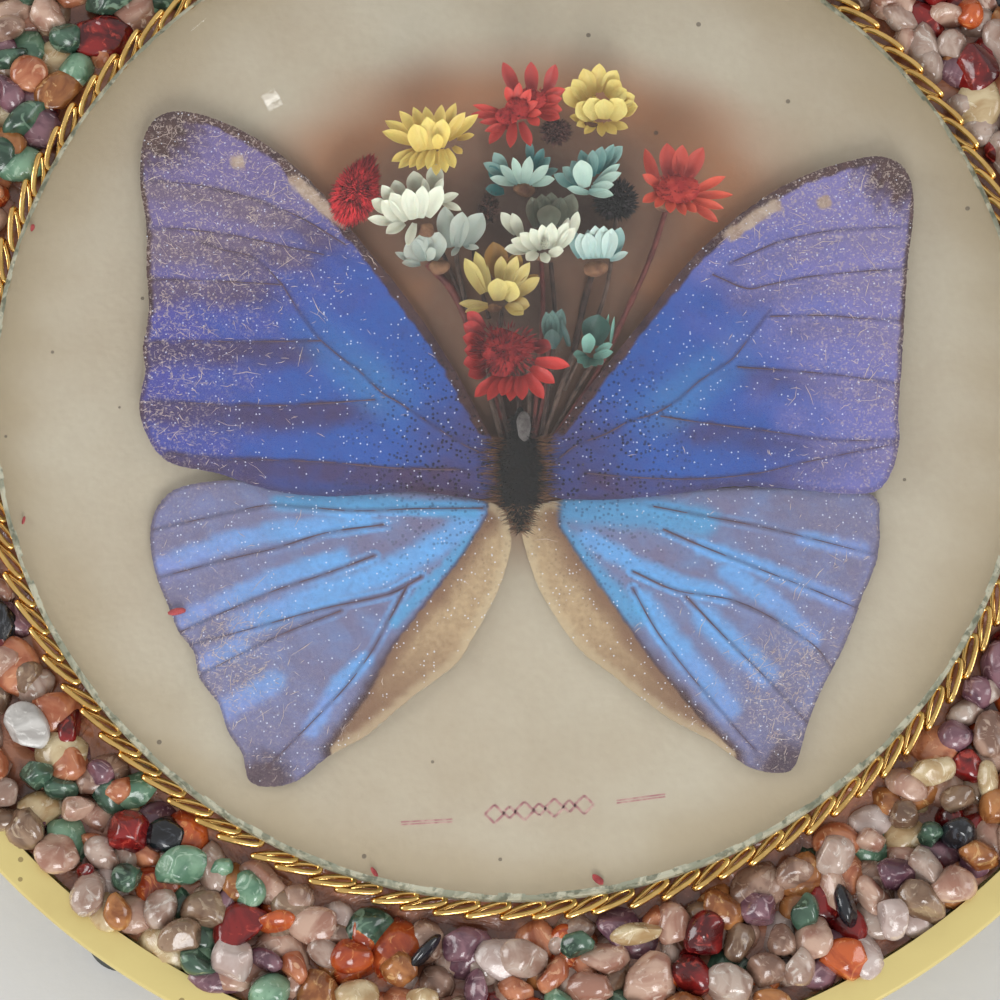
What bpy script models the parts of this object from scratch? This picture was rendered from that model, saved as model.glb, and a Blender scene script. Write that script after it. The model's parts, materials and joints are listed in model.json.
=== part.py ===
"""Round gold-rimmed plaque with a butterfly and dried flowers under a convex glass.

The plaque lies flat on four short feet, face up.  +Z is up, and the origin is on
the table below the middle of the tray.  Lengths are in metres; the hand-read
outlines are in millimetres and are scaled by MM where they are used.
"""
import math
import random

import bmesh
import bpy
from mathutils import Matrix, Vector

MM = 0.001
CLEARANCE = 0.3 * MM

# Edges sharper than these angles, in degrees, stay sharp when a piece is shaded smooth
SMOOTH_ANGLE = 35.0
FACET_ANGLE = 25.0
CHIP_ANGLE = 15.0
LINK_ANGLE = 60.0

# Tray and feet
TRAY_RADIUS = 76.0 * MM
TRAY_TOP = 18.0 * MM
SHEET = 1.2 * MM
RECESS_RADIUS = 72.6 * MM
FLOOR_BOTTOM = 12.7 * MM
EDGE_ROLL = 0.3 * MM
TRAY_SEGMENTS = 52
FOOT_RADIUS = 3.7 * MM
FOOT_CENTRE_RADIUS = 70.5 * MM
FOOT_FIRST_ANGLE = 232.5
FOOT_COUNT = 4
FOOT_SIDES = 12

# Resin bed that holds the stones
BED_GAP = 0.45 * MM
BED_RADIUS = RECESS_RADIUS - BED_GAP
BED_BOTTOM = FLOOR_BOTTOM + SHEET + CLEARANCE
BED_RING_TOP = 16.6 * MM
BED_MIDDLE_TOP = 18.0 * MM
BED_MIDDLE_RADIUS = 58.3 * MM

# Picture board, convex glass and chain, all round the same middle
GLASS_MIDDLE = Vector((-1.1 * MM, -0.7 * MM, 0.0))
BOARD_RADIUS = 55.2 * MM
BOARD_BOTTOM = BED_MIDDLE_TOP + CLEARANCE
BOARD_TOP = 19.8 * MM
GLASS_RADIUS = 55.5 * MM
GLASS_SEAT = BOARD_TOP + CLEARANCE
GLASS_EDGE = 1.2 * MM
GLASS_RISE = 12.0 * MM
GLASS_THICKNESS = 1.8 * MM
GLASS_SEGMENTS = 44
GLASS_RINGS = 4
CHAIN_RADIUS = 57.1 * MM
CHAIN_HEIGHT = 19.7 * MM
CHAIN_LINKS = 105
LINK_HALF_WIDTH = 1.1 * MM
LINK_HALF_HEIGHT = 0.95 * MM
WAIST_SHARE = 0.55

# Butterfly: outlines in millimetres from the middle of the glass, read off by eye
HINDWING_BOTTOM = 20.4 * MM
FOREWING_BOTTOM = 21.2 * MM
WING_THICKNESS = 0.4 * MM
LEFT_FOREWING = (
    (-1.2, -7.6), (-2.8, -4.3), (-5.3, 0.7), (-8.4, 5.9), (-11.9, 11.0), (-15.8, 15.9),
    (-19.8, 21.2), (-25.3, 26.4), (-31.1, 29.7), (-36.0, 30.8), (-38.6, 29.4), (-39.6, 26.2),
    (-39.6, 22.0), (-39.0, 18.3), (-38.9, 13.0), (-38.6, 8.6), (-39.2, 4.4), (-38.9, 1.8),
    (-39.5, -2.0), (-38.5, -5.5), (-36.2, -8.2), (-31.0, -9.4), (-25.5, -11.2), (-19.0, -11.9),
    (-10.0, -11.4), (-2.2, -12.0),
)
RIGHT_FOREWING = (
    (3.2, -7.4), (5.2, -4.2), (8.5, 0.5), (13.9, 7.5), (18.8, 13.9), (24.7, 19.5), (30.4, 23.2),
    (36.0, 25.2), (39.6, 25.7), (42.0, 24.4), (42.9, 21.6), (42.8, 18.0), (42.3, 14.5),
    (41.9, 9.0), (41.5, 3.0), (41.0, -3.0), (41.0, -6.4), (38.6, -11.3), (31.0, -11.2),
    (23.5, -10.8), (15.0, -11.9), (4.2, -11.9),
)
LEFT_HINDWING = (
    (-2.0, -12.4), (-12.0, -10.9), (-24.0, -9.9), (-32.5, -10.1), (-36.6, -11.6), (-38.2, -15.4),
    (-37.6, -20.0), (-36.2, -23.7), (-35.1, -26.4), (-33.4, -28.8), (-32.9, -31.4), (-30.8, -34.3),
    (-29.8, -37.2), (-28.2, -39.8), (-27.6, -42.4), (-25.6, -43.2), (-22.4, -42.5), (-19.2, -39.9),
    (-15.2, -37.6), (-9.8, -33.0), (-5.9, -30.0), (-3.9, -26.8), (-1.4, -21.9), (-0.2, -18.0),
    (-0.2, -15.2),
)
RIGHT_HINDWING = (
    (3.4, -12.4), (14.0, -11.2), (28.0, -10.6), (37.6, -11.3), (38.9, -14.0), (38.6, -18.6),
    (37.0, -22.6), (35.2, -27.6), (32.5, -32.9), (31.0, -36.8), (29.8, -40.7), (28.2, -41.7),
    (24.8, -41.0), (21.0, -38.3), (16.2, -35.6), (9.9, -30.6), (6.9, -28.1), (3.0, -22.0),
    (1.2, -16.4), (1.4, -14.4),
)
WING_STEPS_PER_POINT = 2
BODY_MIDDLE = (0.9, 23.1)
BODY_SIDES = 10
BODY_STATIONS = (
    (-2.6, 0.5, 0.5), (-3.6, 1.0, 1.0), (-5.2, 1.25, 1.3), (-7.0, 1.9, 1.75), (-9.2, 2.3, 1.95),
    (-11.4, 2.2, 1.8), (-13.0, 2.0, 1.6), (-14.8, 1.6, 1.3), (-16.2, 0.5, 0.5),
)

# Flowers: name, middle x and y, half width, half depth, petals, level, colour
LOW_LEVEL = 21.2 * MM
HIGH_LEVEL = 23.7 * MM
HEAD_HEIGHT = 2.2 * MM
FLOWERS = (
    ("flower_red_fuzzy", -16.5, 21.7, 2.9, 4.1, 0, LOW_LEVEL, (0.42, 0.04, 0.05)),
    ("flower_yellow_left", -8.5, 27.2, 4.7, 4.4, 7, HIGH_LEVEL, (0.72, 0.58, 0.22)),
    ("flower_white_large", -10.8, 19.0, 5.2, 3.5, 7, HIGH_LEVEL, (0.66, 0.66, 0.58)),
    ("flower_bud_upper", -5.5, 17.2, 1.8, 2.4, 0, LOW_LEVEL, (0.50, 0.56, 0.53)),
    ("flower_bud_lower", -9.8, 14.3, 2.6, 2.1, 0, LOW_LEVEL, (0.50, 0.56, 0.53)),
    ("flower_bud_brown", -2.4, 19.7, 1.1, 1.8, 0, LOW_LEVEL, (0.12, 0.06, 0.04)),
    ("flower_red_top", 1.2, 30.3, 4.7, 4.9, 7, HIGH_LEVEL, (0.50, 0.06, 0.06)),
    ("flower_yellow_right", 9.6, 31.4, 4.1, 3.6, 7, LOW_LEVEL, (0.72, 0.58, 0.22)),
    ("flower_dark_head", 4.7, 28.3, 1.7, 1.6, 0, LOW_LEVEL, (0.05, 0.03, 0.03)),
    ("flower_teal_middle", 1.0, 24.1, 4.0, 3.0, 7, LOW_LEVEL, (0.22, 0.36, 0.34)),
    ("flower_teal_right", 8.1, 23.3, 3.8, 3.1, 7, HIGH_LEVEL, (0.28, 0.42, 0.39)),
    ("flower_black_fuzzy", 11.1, 20.6, 2.8, 2.4, 0, LOW_LEVEL, (0.02, 0.02, 0.02)),
    ("flower_red_right", 18.5, 21.9, 4.9, 4.4, 7, HIGH_LEVEL, (0.52, 0.06, 0.04)),
    ("flower_white_middle", 3.0, 15.9, 4.1, 3.0, 7, HIGH_LEVEL, (0.62, 0.62, 0.52)),
    ("flower_pale_ball", 4.2, 19.4, 1.8, 1.9, 0, LOW_LEVEL, (0.32, 0.32, 0.27)),
    ("flower_white_right", 9.5, 14.9, 2.8, 2.8, 7, LOW_LEVEL, (0.66, 0.70, 0.66)),
    ("flower_yellow_middle", -1.1, 11.6, 4.6, 4.2, 7, LOW_LEVEL, (0.70, 0.62, 0.34)),
    ("flower_red_large", 0.0, 2.0, 5.2, 4.6, 7, HIGH_LEVEL, (0.30, 0.03, 0.04)),
    ("flower_teal_bud", 4.9, 6.6, 1.3, 2.3, 0, LOW_LEVEL, (0.12, 0.28, 0.27)),
    ("flower_teal_small", 8.8, 5.0, 2.1, 3.3, 7, LOW_LEVEL, (0.14, 0.30, 0.26)),
)
HEAD_SIDES = 12
PETAL_ROWS = ((0.55, 0.25), (1.0, 0.6), (0.5, 0.8))
BUD_ROWS = ((0.75, 0.22), (1.0, 0.55), (0.7, 0.85))
PETAL_TIP_ROW = 1
PETAL_NOTCH = 0.62
STEM_RADIUS = 0.36 * MM
STEM_THINNING = 0.013
STEM_SPREAD = 0.11 * MM
STEM_HEIGHT = 20.5 * MM
STEM_SIDES = 4
STEM_MEETING = (0.9, -4.6)
STEM_END = (0.9, -8.6)
STEM_STARTS = (
    (-15.5, 20.0), (-9.0, 26.0), (-7.9, 13.8), (-5.2, 15.6), (0.6, 28.5), (2.2, 21.6), (8.8, 29.0),
    (8.9, 13.4), (3.2, 14.4), (16.0, 20.4), (11.0, 19.4), (8.6, 3.6),
)

# Large stones in millimetres from the middle of the tray: name, x, y, half length,
# half width, turn in degrees, colour
STONE_LEVEL = 19.0 * MM
STONE_HALF_HEIGHT = 2.1 * MM
STONE_SIDES = 7
STONES = (
    ("stone_white_oval", -52.3, -36.8, 2.9, 2.6, 120, (0.62, 0.60, 0.57)),
    ("stone_green_dark", -51.1, -42.3, 2.1, 1.9, 20, (0.08, 0.12, 0.10)),
    ("stone_amethyst_left", -44.5, -42.1, 2.0, 1.6, -46, (0.12, 0.05, 0.14)),
    ("stone_clear_left", -47.0, -45.8, 2.2, 1.7, 20, (0.42, 0.34, 0.30)),
    ("stone_garnet_left", -41.5, -48.4, 2.8, 2.6, 40, (0.18, 0.02, 0.02)),
    ("stone_green_pale", -35.9, -52.3, 3.1, 2.4, 20, (0.22, 0.33, 0.25)),
    ("stone_smoky", -35.6, -59.9, 2.6, 2.0, 25, (0.20, 0.17, 0.14)),
    ("stone_milky_left", -30.5, -62.2, 3.0, 2.5, 100, (0.55, 0.49, 0.48)),
    ("stone_orange", -17.9, -61.7, 2.5, 2.1, 10, (0.50, 0.16, 0.04)),
    ("stone_black_left", -10.2, -61.4, 2.7, 0.9, 47, (0.01, 0.01, 0.015)),
    ("stone_cream_low", -10.4, -66.6, 2.2, 1.9, 0, (0.52, 0.44, 0.30)),
    ("stone_clear_front", 0.0, -61.9, 2.9, 2.7, -10, (0.46, 0.38, 0.34)),
    ("stone_green_front", 5.9, -60.6, 2.3, 1.8, -20, (0.04, 0.12, 0.09)),
    ("stone_cream_oval", 12.0, -59.3, 3.4, 1.4, 8, (0.52, 0.48, 0.36)),
    ("stone_jasper_front", 19.3, -59.3, 3.0, 2.7, 70, (0.20, 0.02, 0.02)),
    ("stone_amethyst_right", 24.9, -56.6, 2.6, 2.2, 100, (0.22, 0.14, 0.18)),
    ("stone_green_right", 29.7, -57.1, 2.2, 1.8, 95, (0.04, 0.12, 0.08)),
    ("stone_black_right", 34.0, -56.4, 2.9, 1.2, 108, (0.01, 0.012, 0.02)),
    ("stone_clear_right", 32.8, -50.6, 2.5, 2.4, 60, (0.45, 0.40, 0.38)),
    ("stone_milky_right", 38.8, -57.7, 2.9, 2.2, 110, (0.55, 0.50, 0.44)),
    ("stone_cream_speckled", 42.9, -41.9, 3.0, 2.0, 8, (0.60, 0.50, 0.40)),
    ("stone_dark_round", 45.9, -48.7, 2.0, 1.9, 0, (0.05, 0.02, 0.02)),
    ("stone_green_upper", -44.6, 44.2, 3.3, 2.2, 40, (0.06, 0.14, 0.11)),
    ("stone_red_upper", 49.2, 36.0, 3.5, 2.7, 100, (0.20, 0.02, 0.02)),
)

STONE_ROWS = ((0.72, -0.68), (1.0, 0.0), (0.66, 0.72))
STONE_UNEVEN = 0.12
POCKET_GAP = 0.4 * MM

# Small chips fused with the bed: rings of radius, mean height and unevenness
CHIPS_ROUND = 86
CHIP_RINGS = (
    (61.4 * MM, 18.1 * MM, 0.6 * MM),
    (65.3 * MM, 18.9 * MM, 1.6 * MM),
    (69.3 * MM, 18.7 * MM, 1.4 * MM),
)
CHIP_SHIFT = 0.8 * MM
CHIP_SEED = 7


def clear_scene():
    for old in list(bpy.data.objects):
        bpy.data.objects.remove(old, do_unlink=True)


def finish(name, colour, roughness=0.5, metallic=0.0, transmission=0.0):
    """A plain material in the piece's own colour."""
    material = bpy.data.materials.new(name)
    material.use_nodes = True
    shader = material.node_tree.nodes["Principled BSDF"]
    shader.inputs["Base Color"].default_value = (*colour, 1.0)
    shader.inputs["Roughness"].default_value = roughness
    shader.inputs["Metallic"].default_value = metallic
    shader.inputs["Transmission Weight"].default_value = transmission
    return material


def add_piece(name, shape, material, smooth_angle=SMOOTH_ANGLE):
    """Turn a bmesh into an object with faces out and smooth shading."""
    bmesh.ops.recalc_face_normals(shape, faces=shape.faces[:])
    mesh = bpy.data.meshes.new(name)
    shape.to_mesh(mesh)
    shape.free()
    mesh.shade_smooth()
    mesh.set_sharp_from_angle(angle=math.radians(smooth_angle))
    mesh.materials.append(material)
    piece = bpy.data.objects.new(name, mesh)
    bpy.context.scene.collection.objects.link(piece)
    return piece


def add_cutter(name, shape):
    """A hidden shape that a Boolean uses."""
    cutter = add_piece(name, shape, finish(name + "_guide", (0.5, 0.5, 0.5)))
    cutter.hide_render = True
    cutter.display_type = "WIRE"
    return cutter


def add_boolean(piece, tool, operation):
    modifier = piece.modifiers.new(operation.lower(), "BOOLEAN")
    modifier.operation = operation
    modifier.solver = "EXACT"
    modifier.object = tool
    if operation == "UNION":
        modifier.use_self = True
    return modifier


def join_rings(shape, rings, closed):
    """Faces between rings of vertices; a ring of one vertex is a pole."""
    pairs = list(zip(rings, rings[1:]))
    if closed:
        pairs.append((rings[-1], rings[0]))
    for lower, upper in pairs:
        count = max(len(lower), len(upper))
        for i in range(count):
            j = (i + 1) % count
            if len(lower) == 1:
                shape.faces.new((lower[0], upper[i], upper[j]))
            elif len(upper) == 1:
                shape.faces.new((lower[i], lower[j], upper[0]))
            else:
                shape.faces.new((lower[i], lower[j], upper[j], upper[i]))


def turned(profile, segments, middle=Vector((0.0, 0.0, 0.0))):
    """Turn a profile of (radius, height) about the upright axis through middle."""
    shape = bmesh.new()
    rings = []
    for radius, height in profile:
        if radius == 0.0:
            rings.append([shape.verts.new(middle + Vector((0.0, 0.0, height)))])
            continue
        ring = []
        for i in range(segments):
            angle = 2.0 * math.pi * i / segments
            offset = Vector((radius * math.cos(angle), radius * math.sin(angle), height))
            ring.append(shape.verts.new(middle + offset))
        rings.append(ring)
    on_axis = profile[0][0] == 0.0
    join_rings(shape, rings, closed=not on_axis)
    return shape


def smooth_outline(points, steps):
    """Points along a closed Catmull-Rom curve through the given ones."""
    count = len(points)
    outline = []
    for i in range(count):
        a, b, c, d = (Vector(points[(i + k) % count]) for k in (-1, 0, 1, 2))
        for step in range(steps):
            t = step / steps
            spot = 0.5 * (2.0 * b + (c - a) * t + (2.0 * a - 5.0 * b + 4.0 * c - d) * t * t
                          + (3.0 * b - 3.0 * c + d - a) * t ** 3)
            outline.append(spot)
    return outline


def plate(outline, bottom, top):
    """A flat plate with the given outline."""
    shape = bmesh.new()
    lower = [shape.verts.new((x, y, bottom)) for x, y in outline]
    upper = [shape.verts.new((x, y, top)) for x, y in outline]
    join_rings(shape, [lower, upper], closed=False)
    shape.faces.new(lower)
    shape.faces.new(upper)
    return shape


def lump(rng):
    """A rounded stone of unit half sizes."""
    shape = bmesh.new()
    rings = [[shape.verts.new((0.0, 0.0, -1.0))]]
    for share, height in STONE_ROWS:
        ring = []
        for i in range(STONE_SIDES):
            angle = 2.0 * math.pi * (i + 0.5 * len(rings)) / STONE_SIDES
            reach = share * (1.0 + rng.uniform(-STONE_UNEVEN, 0.0))
            ring.append(shape.verts.new((reach * math.cos(angle), reach * math.sin(angle), height)))
        rings.append(ring)
    rings.append([shape.verts.new((0.0, 0.0, 1.0))])
    join_rings(shape, rings, closed=False)
    return shape


def placed(shape, place, sizes, turn):
    """Scale, turn and move a shape."""
    matrix = (Matrix.Translation(place) @ Matrix.Rotation(turn, 4, "Z")
              @ Matrix.Diagonal((*sizes, 1.0)))
    bmesh.ops.transform(shape, matrix=matrix, verts=shape.verts[:])
    return shape


def tube(path, radius, sides):
    """A round tube with flat ends along a level path."""
    shape = bmesh.new()
    rings = []
    for i, point in enumerate(path):
        before = path[max(i - 1, 0)]
        after = path[min(i + 1, len(path) - 1)]
        along = (after - before).normalized()
        across = along.cross(Vector((0.0, 0.0, 1.0))).normalized()
        over = across.cross(along)
        ring = []
        for k in range(sides):
            angle = 2.0 * math.pi * k / sides
            ring.append(shape.verts.new(point + radius * (math.cos(angle) * across
                                                          + math.sin(angle) * over)))
        rings.append(ring)
    join_rings(shape, rings, closed=False)
    shape.faces.new(rings[0])
    shape.faces.new(rings[-1])
    return shape


def joined(shapes):
    """Several bmeshes as one, still separate bodies."""
    whole = bmesh.new()
    for shape in shapes:
        mesh = bpy.data.meshes.new("part_of_joined")
        shape.to_mesh(mesh)
        shape.free()
        whole.from_mesh(mesh)
        bpy.data.meshes.remove(mesh)
    return whole


def build_tray():
    """Pressed tray: flat floor, upright wall and a flat flange on top."""
    wall = RECESS_RADIUS + SHEET
    profile = (
        (0.0, FLOOR_BOTTOM),
        (wall - SHEET, FLOOR_BOTTOM),
        (wall, FLOOR_BOTTOM + SHEET),
        (wall, TRAY_TOP - SHEET),
        (TRAY_RADIUS, TRAY_TOP - SHEET),
        (TRAY_RADIUS, TRAY_TOP - EDGE_ROLL),
        (TRAY_RADIUS - EDGE_ROLL, TRAY_TOP),
        (RECESS_RADIUS, TRAY_TOP),
        (RECESS_RADIUS, FLOOR_BOTTOM + SHEET),
        (0.0, FLOOR_BOTTOM + SHEET),
    )
    add_piece("tray", turned(profile, TRAY_SEGMENTS), finish("gold_rim", (0.72, 0.61, 0.26), 0.34, 1.0))


def build_feet():
    """Four short round feet under the tray floor."""
    rubber = finish("foot_black", (0.02, 0.025, 0.022), 0.6)
    top = FLOOR_BOTTOM - CLEARANCE
    profile = ((0.0, 0.0), (FOOT_RADIUS, 0.0), (FOOT_RADIUS, top), (0.0, top))
    for k in range(FOOT_COUNT):
        angle = math.radians(FOOT_FIRST_ANGLE + 360.0 * k / FOOT_COUNT)
        middle = FOOT_CENTRE_RADIUS * Vector((math.cos(angle), math.sin(angle), 0.0))
        add_piece("foot_%d" % (k + 1), turned(profile, FOOT_SIDES, middle), rubber)


def stone_shape(stone, rng, grow=0.0):
    """One large stone, or its pocket when grown by the clearance."""
    _, x, y, half_length, half_width, turn, _ = stone
    place = Vector((x * MM, y * MM, STONE_LEVEL))
    sizes = (half_length * MM + grow, half_width * MM + grow, STONE_HALF_HEIGHT + grow)
    return placed(lump(rng), place, sizes, math.radians(turn))


def build_stones():
    """The large stones, each its own piece."""
    for index, stone in enumerate(STONES):
        colour = finish(stone[0] + "_colour", stone[6], 0.15)
        add_piece(stone[0], stone_shape(stone, random.Random(index)), colour, FACET_ANGLE)


def chip_ring(shape, radius, level, uneven, rng):
    """One ring of corners of the fused chips, pushed up, down and aside at random."""
    ring = []
    for i in range(CHIPS_ROUND):
        angle = 2.0 * math.pi * i / CHIPS_ROUND + rng.uniform(-1.0, 1.0) * CHIP_SHIFT / radius
        reach = radius + rng.uniform(-1.0, 1.0) * CHIP_SHIFT
        height = level + rng.uniform(-1.0, 1.0) * uneven
        ring.append(shape.verts.new((reach * math.cos(angle), reach * math.sin(angle), height)))
    return ring


def plain_ring(shape, radius, height):
    turns = [2.0 * math.pi * i / CHIPS_ROUND for i in range(CHIPS_ROUND)]
    return [shape.verts.new((radius * math.cos(t), radius * math.sin(t), height)) for t in turns]


def build_bed():
    """Resin bed: raised middle, rugged ring of chips, pockets for the large stones."""
    rng = random.Random(CHIP_SEED)
    shape = bmesh.new()
    rings = [
        [shape.verts.new((0.0, 0.0, BED_MIDDLE_TOP))],
        plain_ring(shape, BED_MIDDLE_RADIUS, BED_MIDDLE_TOP),
    ]
    rings += [chip_ring(shape, *row, rng) for row in CHIP_RINGS]
    rings += [
        plain_ring(shape, BED_RADIUS, BED_RING_TOP),
        plain_ring(shape, BED_RADIUS, BED_BOTTOM),
        [shape.verts.new((0.0, 0.0, BED_BOTTOM))],
    ]
    join_rings(shape, rings, closed=False)
    bed = add_piece("resin_bed", shape, finish("resin_brown", (0.10, 0.06, 0.045), 0.2), CHIP_ANGLE)
    pockets = [stone_shape(stone, random.Random(index), POCKET_GAP)
               for index, stone in enumerate(STONES)]
    add_boolean(bed, add_cutter("pocket_guide", joined(pockets)), "DIFFERENCE")


def build_board():
    """Card that the specimens lie on."""
    profile = ((0.0, BOARD_BOTTOM), (BOARD_RADIUS, BOARD_BOTTOM), (BOARD_RADIUS, BOARD_TOP),
               (0.0, BOARD_TOP))
    add_piece("mount_board", turned(profile, GLASS_SEGMENTS, GLASS_MIDDLE),
              finish("aged_card", (0.52, 0.45, 0.35), 0.85))


def glass_profile():
    """Half section of the convex glass, from the inner top to the outer top."""
    edge_top = GLASS_SEAT + GLASS_EDGE
    outer = (GLASS_RADIUS ** 2 + GLASS_RISE ** 2) / (2.0 * GLASS_RISE)
    centre = edge_top + GLASS_RISE - outer
    inner = outer - GLASS_THICKNESS
    inner_reach = math.sqrt(inner ** 2 - (GLASS_SEAT - centre) ** 2)
    inside = [(inner_reach * k / GLASS_RINGS, centre) for k in range(GLASS_RINGS + 1)]
    inside = [(r, c + math.sqrt(inner ** 2 - r ** 2)) for r, c in inside]
    outside = [(GLASS_RADIUS * k / GLASS_RINGS, centre) for k in range(GLASS_RINGS, -1, -1)]
    outside = [(r, c + math.sqrt(outer ** 2 - r ** 2)) for r, c in outside]
    return inside + [(GLASS_RADIUS, GLASS_SEAT)] + outside


def build_glass():
    """Convex glass with a ground edge that stands on the board."""
    add_piece("convex_glass", turned(glass_profile(), GLASS_SEGMENTS, GLASS_MIDDLE),
              finish("clear_glass", (0.85, 0.93, 0.88), 0.03, 0.0, 1.0))


def build_chain():
    """Curb chain round the glass, its links fused into one ring that swells at each link."""
    shape = bmesh.new()
    rings = []
    stations = 2 * CHAIN_LINKS
    for i in range(stations):
        angle = 2.0 * math.pi * i / stations
        outward = Vector((math.cos(angle), math.sin(angle), 0.0))
        share = 1.0 if i % 2 else WAIST_SHARE
        middle = GLASS_MIDDLE + CHAIN_RADIUS * outward + Vector((0.0, 0.0, CHAIN_HEIGHT))
        half_width = share * LINK_HALF_WIDTH * outward
        half_height = Vector((0.0, 0.0, share * LINK_HALF_HEIGHT))
        corners = (middle + half_width, middle + half_height, middle - half_width, middle - half_height)
        rings.append([shape.verts.new(corner) for corner in corners])
    join_rings(shape, rings, closed=True)
    add_piece("chain", shape, finish("chain_gold", (0.80, 0.58, 0.24), 0.22, 1.0), LINK_ANGLE)


def build_wing(name, points, bottom, material):
    outline = smooth_outline(points, WING_STEPS_PER_POINT)
    outline = [(x * MM + GLASS_MIDDLE.x, y * MM + GLASS_MIDDLE.y) for x, y in outline]
    add_piece(name, plate(outline, bottom, bottom + WING_THICKNESS), material)


def build_butterfly():
    """Four wings and a hairy dark body over their roots."""
    blue = finish("wing_blue", (0.10, 0.13, 0.42), 0.45, 0.2)
    build_wing("hindwing_left", LEFT_HINDWING, HINDWING_BOTTOM, blue)
    build_wing("hindwing_right", RIGHT_HINDWING, HINDWING_BOTTOM, blue)
    build_wing("forewing_left", LEFT_FOREWING, FOREWING_BOTTOM, blue)
    build_wing("forewing_right", RIGHT_FOREWING, FOREWING_BOTTOM, blue)
    shape = bmesh.new()
    rings = []
    across, level = BODY_MIDDLE
    for y, half_width, half_height in BODY_STATIONS:
        ring = []
        for k in range(BODY_SIDES):
            angle = 2.0 * math.pi * k / BODY_SIDES
            spot = Vector((across + half_width * math.cos(angle), y,
                           level + half_height * math.sin(angle)))
            ring.append(shape.verts.new(GLASS_MIDDLE + MM * spot))
        rings.append(ring)
    join_rings(shape, rings, closed=False)
    shape.faces.new(rings[0])
    shape.faces.new(rings[-1])
    add_piece("butterfly_body", shape, finish("body_dark", (0.03, 0.022, 0.02), 0.9))


def flower_head(half_width, half_depth, petals, height):
    """A cupped head: petal tips and notches round a ring, or a round bud with no petals."""
    shape = bmesh.new()
    rings = [[shape.verts.new((0.0, 0.0, 0.0))]]
    rows = PETAL_ROWS if petals else BUD_ROWS
    for row, (share, level) in enumerate(rows):
        ring = []
        for i in range(HEAD_SIDES):
            angle = 2.0 * math.pi * i / HEAD_SIDES
            notched = petals and row == PETAL_TIP_ROW and i % 2
            reach = share * (PETAL_NOTCH if notched else 1.0)
            ring.append(shape.verts.new((reach * half_width * math.cos(angle),
                                         reach * half_depth * math.sin(angle), level * height)))
        rings.append(ring)
    rings.append([shape.verts.new((0.0, 0.0, height))])
    join_rings(shape, rings, closed=False)
    return shape


def build_flowers():
    """Dyed dried flower heads, and their stems as one bunch fused where they cross."""
    for name, x, y, half_width, half_depth, petals, level, colour in FLOWERS:
        shape = flower_head(half_width * MM, half_depth * MM, petals, HEAD_HEIGHT)
        place = GLASS_MIDDLE + Vector((x * MM, y * MM, level))
        bmesh.ops.translate(shape, vec=place, verts=shape.verts[:])
        add_piece(name, shape, finish(name + "_colour", colour, 0.8), FACET_ANGLE)
    meeting = Vector((*STEM_MEETING, 0.0)) * MM
    end = Vector((*STEM_END, 0.0)) * MM
    lift = GLASS_MIDDLE + Vector((0.0, 0.0, STEM_HEIGHT))
    brown = finish("stem_brown", (0.10, 0.04, 0.03), 0.7)
    shapes = []
    for k, (x, y) in enumerate(STEM_STARTS):
        start = Vector((x, y, 0.0)) * MM
        from_middle = k - 0.5 * (len(STEM_STARTS) - 1)
        aside = Vector((STEM_SPREAD * from_middle, 0.0, 0.0))
        path = [lift + start, lift + start.lerp(meeting, 0.5) + aside, lift + meeting + aside,
                lift + end + aside]
        shapes.append(tube(path, STEM_RADIUS * (1.0 - STEM_THINNING * k), STEM_SIDES))
    bunch = add_piece("flower_stems", shapes[0], brown)
    add_boolean(bunch, add_cutter("stem_guide", joined(shapes[1:])), "UNION")


def main():
    clear_scene()
    build_tray()
    build_feet()
    build_bed()
    build_stones()
    build_board()
    build_glass()
    build_chain()
    build_butterfly()
    build_flowers()


main()
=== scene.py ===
"""Dress the round butterfly plaque: stones, chain links, wings, petals and glass.

Lengths are metres.  The places listed for the butterfly, flowers and print are
millimetres from the middle of the glass, and those of the stones are millimetres
from the middle of the tray.  The solids' own boxes give every other place.
"""
import json
import math
import random

import bmesh
import bpy
import numpy as np
from mathutils import Matrix, Vector


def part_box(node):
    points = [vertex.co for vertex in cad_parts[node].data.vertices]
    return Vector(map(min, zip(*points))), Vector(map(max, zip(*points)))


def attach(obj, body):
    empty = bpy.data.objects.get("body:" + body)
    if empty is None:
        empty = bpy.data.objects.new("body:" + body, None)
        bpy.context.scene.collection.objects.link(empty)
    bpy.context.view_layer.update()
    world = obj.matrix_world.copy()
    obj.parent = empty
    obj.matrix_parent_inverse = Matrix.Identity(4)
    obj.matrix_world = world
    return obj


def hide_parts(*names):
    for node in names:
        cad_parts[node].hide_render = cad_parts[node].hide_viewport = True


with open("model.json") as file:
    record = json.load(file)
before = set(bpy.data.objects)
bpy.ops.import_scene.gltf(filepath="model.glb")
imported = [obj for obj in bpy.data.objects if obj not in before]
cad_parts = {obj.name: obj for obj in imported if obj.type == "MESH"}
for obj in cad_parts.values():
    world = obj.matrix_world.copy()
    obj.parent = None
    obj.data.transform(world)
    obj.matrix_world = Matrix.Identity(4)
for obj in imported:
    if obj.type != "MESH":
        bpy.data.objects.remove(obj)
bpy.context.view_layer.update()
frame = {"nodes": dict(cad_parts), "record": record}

bl_info = {
    "name": "Butterfly Plaque Dressing",
    "version": (1, 0, 0),
    "blender": (4, 5, 0),
    "location": "View3D > Sidebar > Plaque",
    "description": "Builds the visible surfaces of a round butterfly plaque",
    "category": "Object",
}

MM = 0.001

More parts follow.
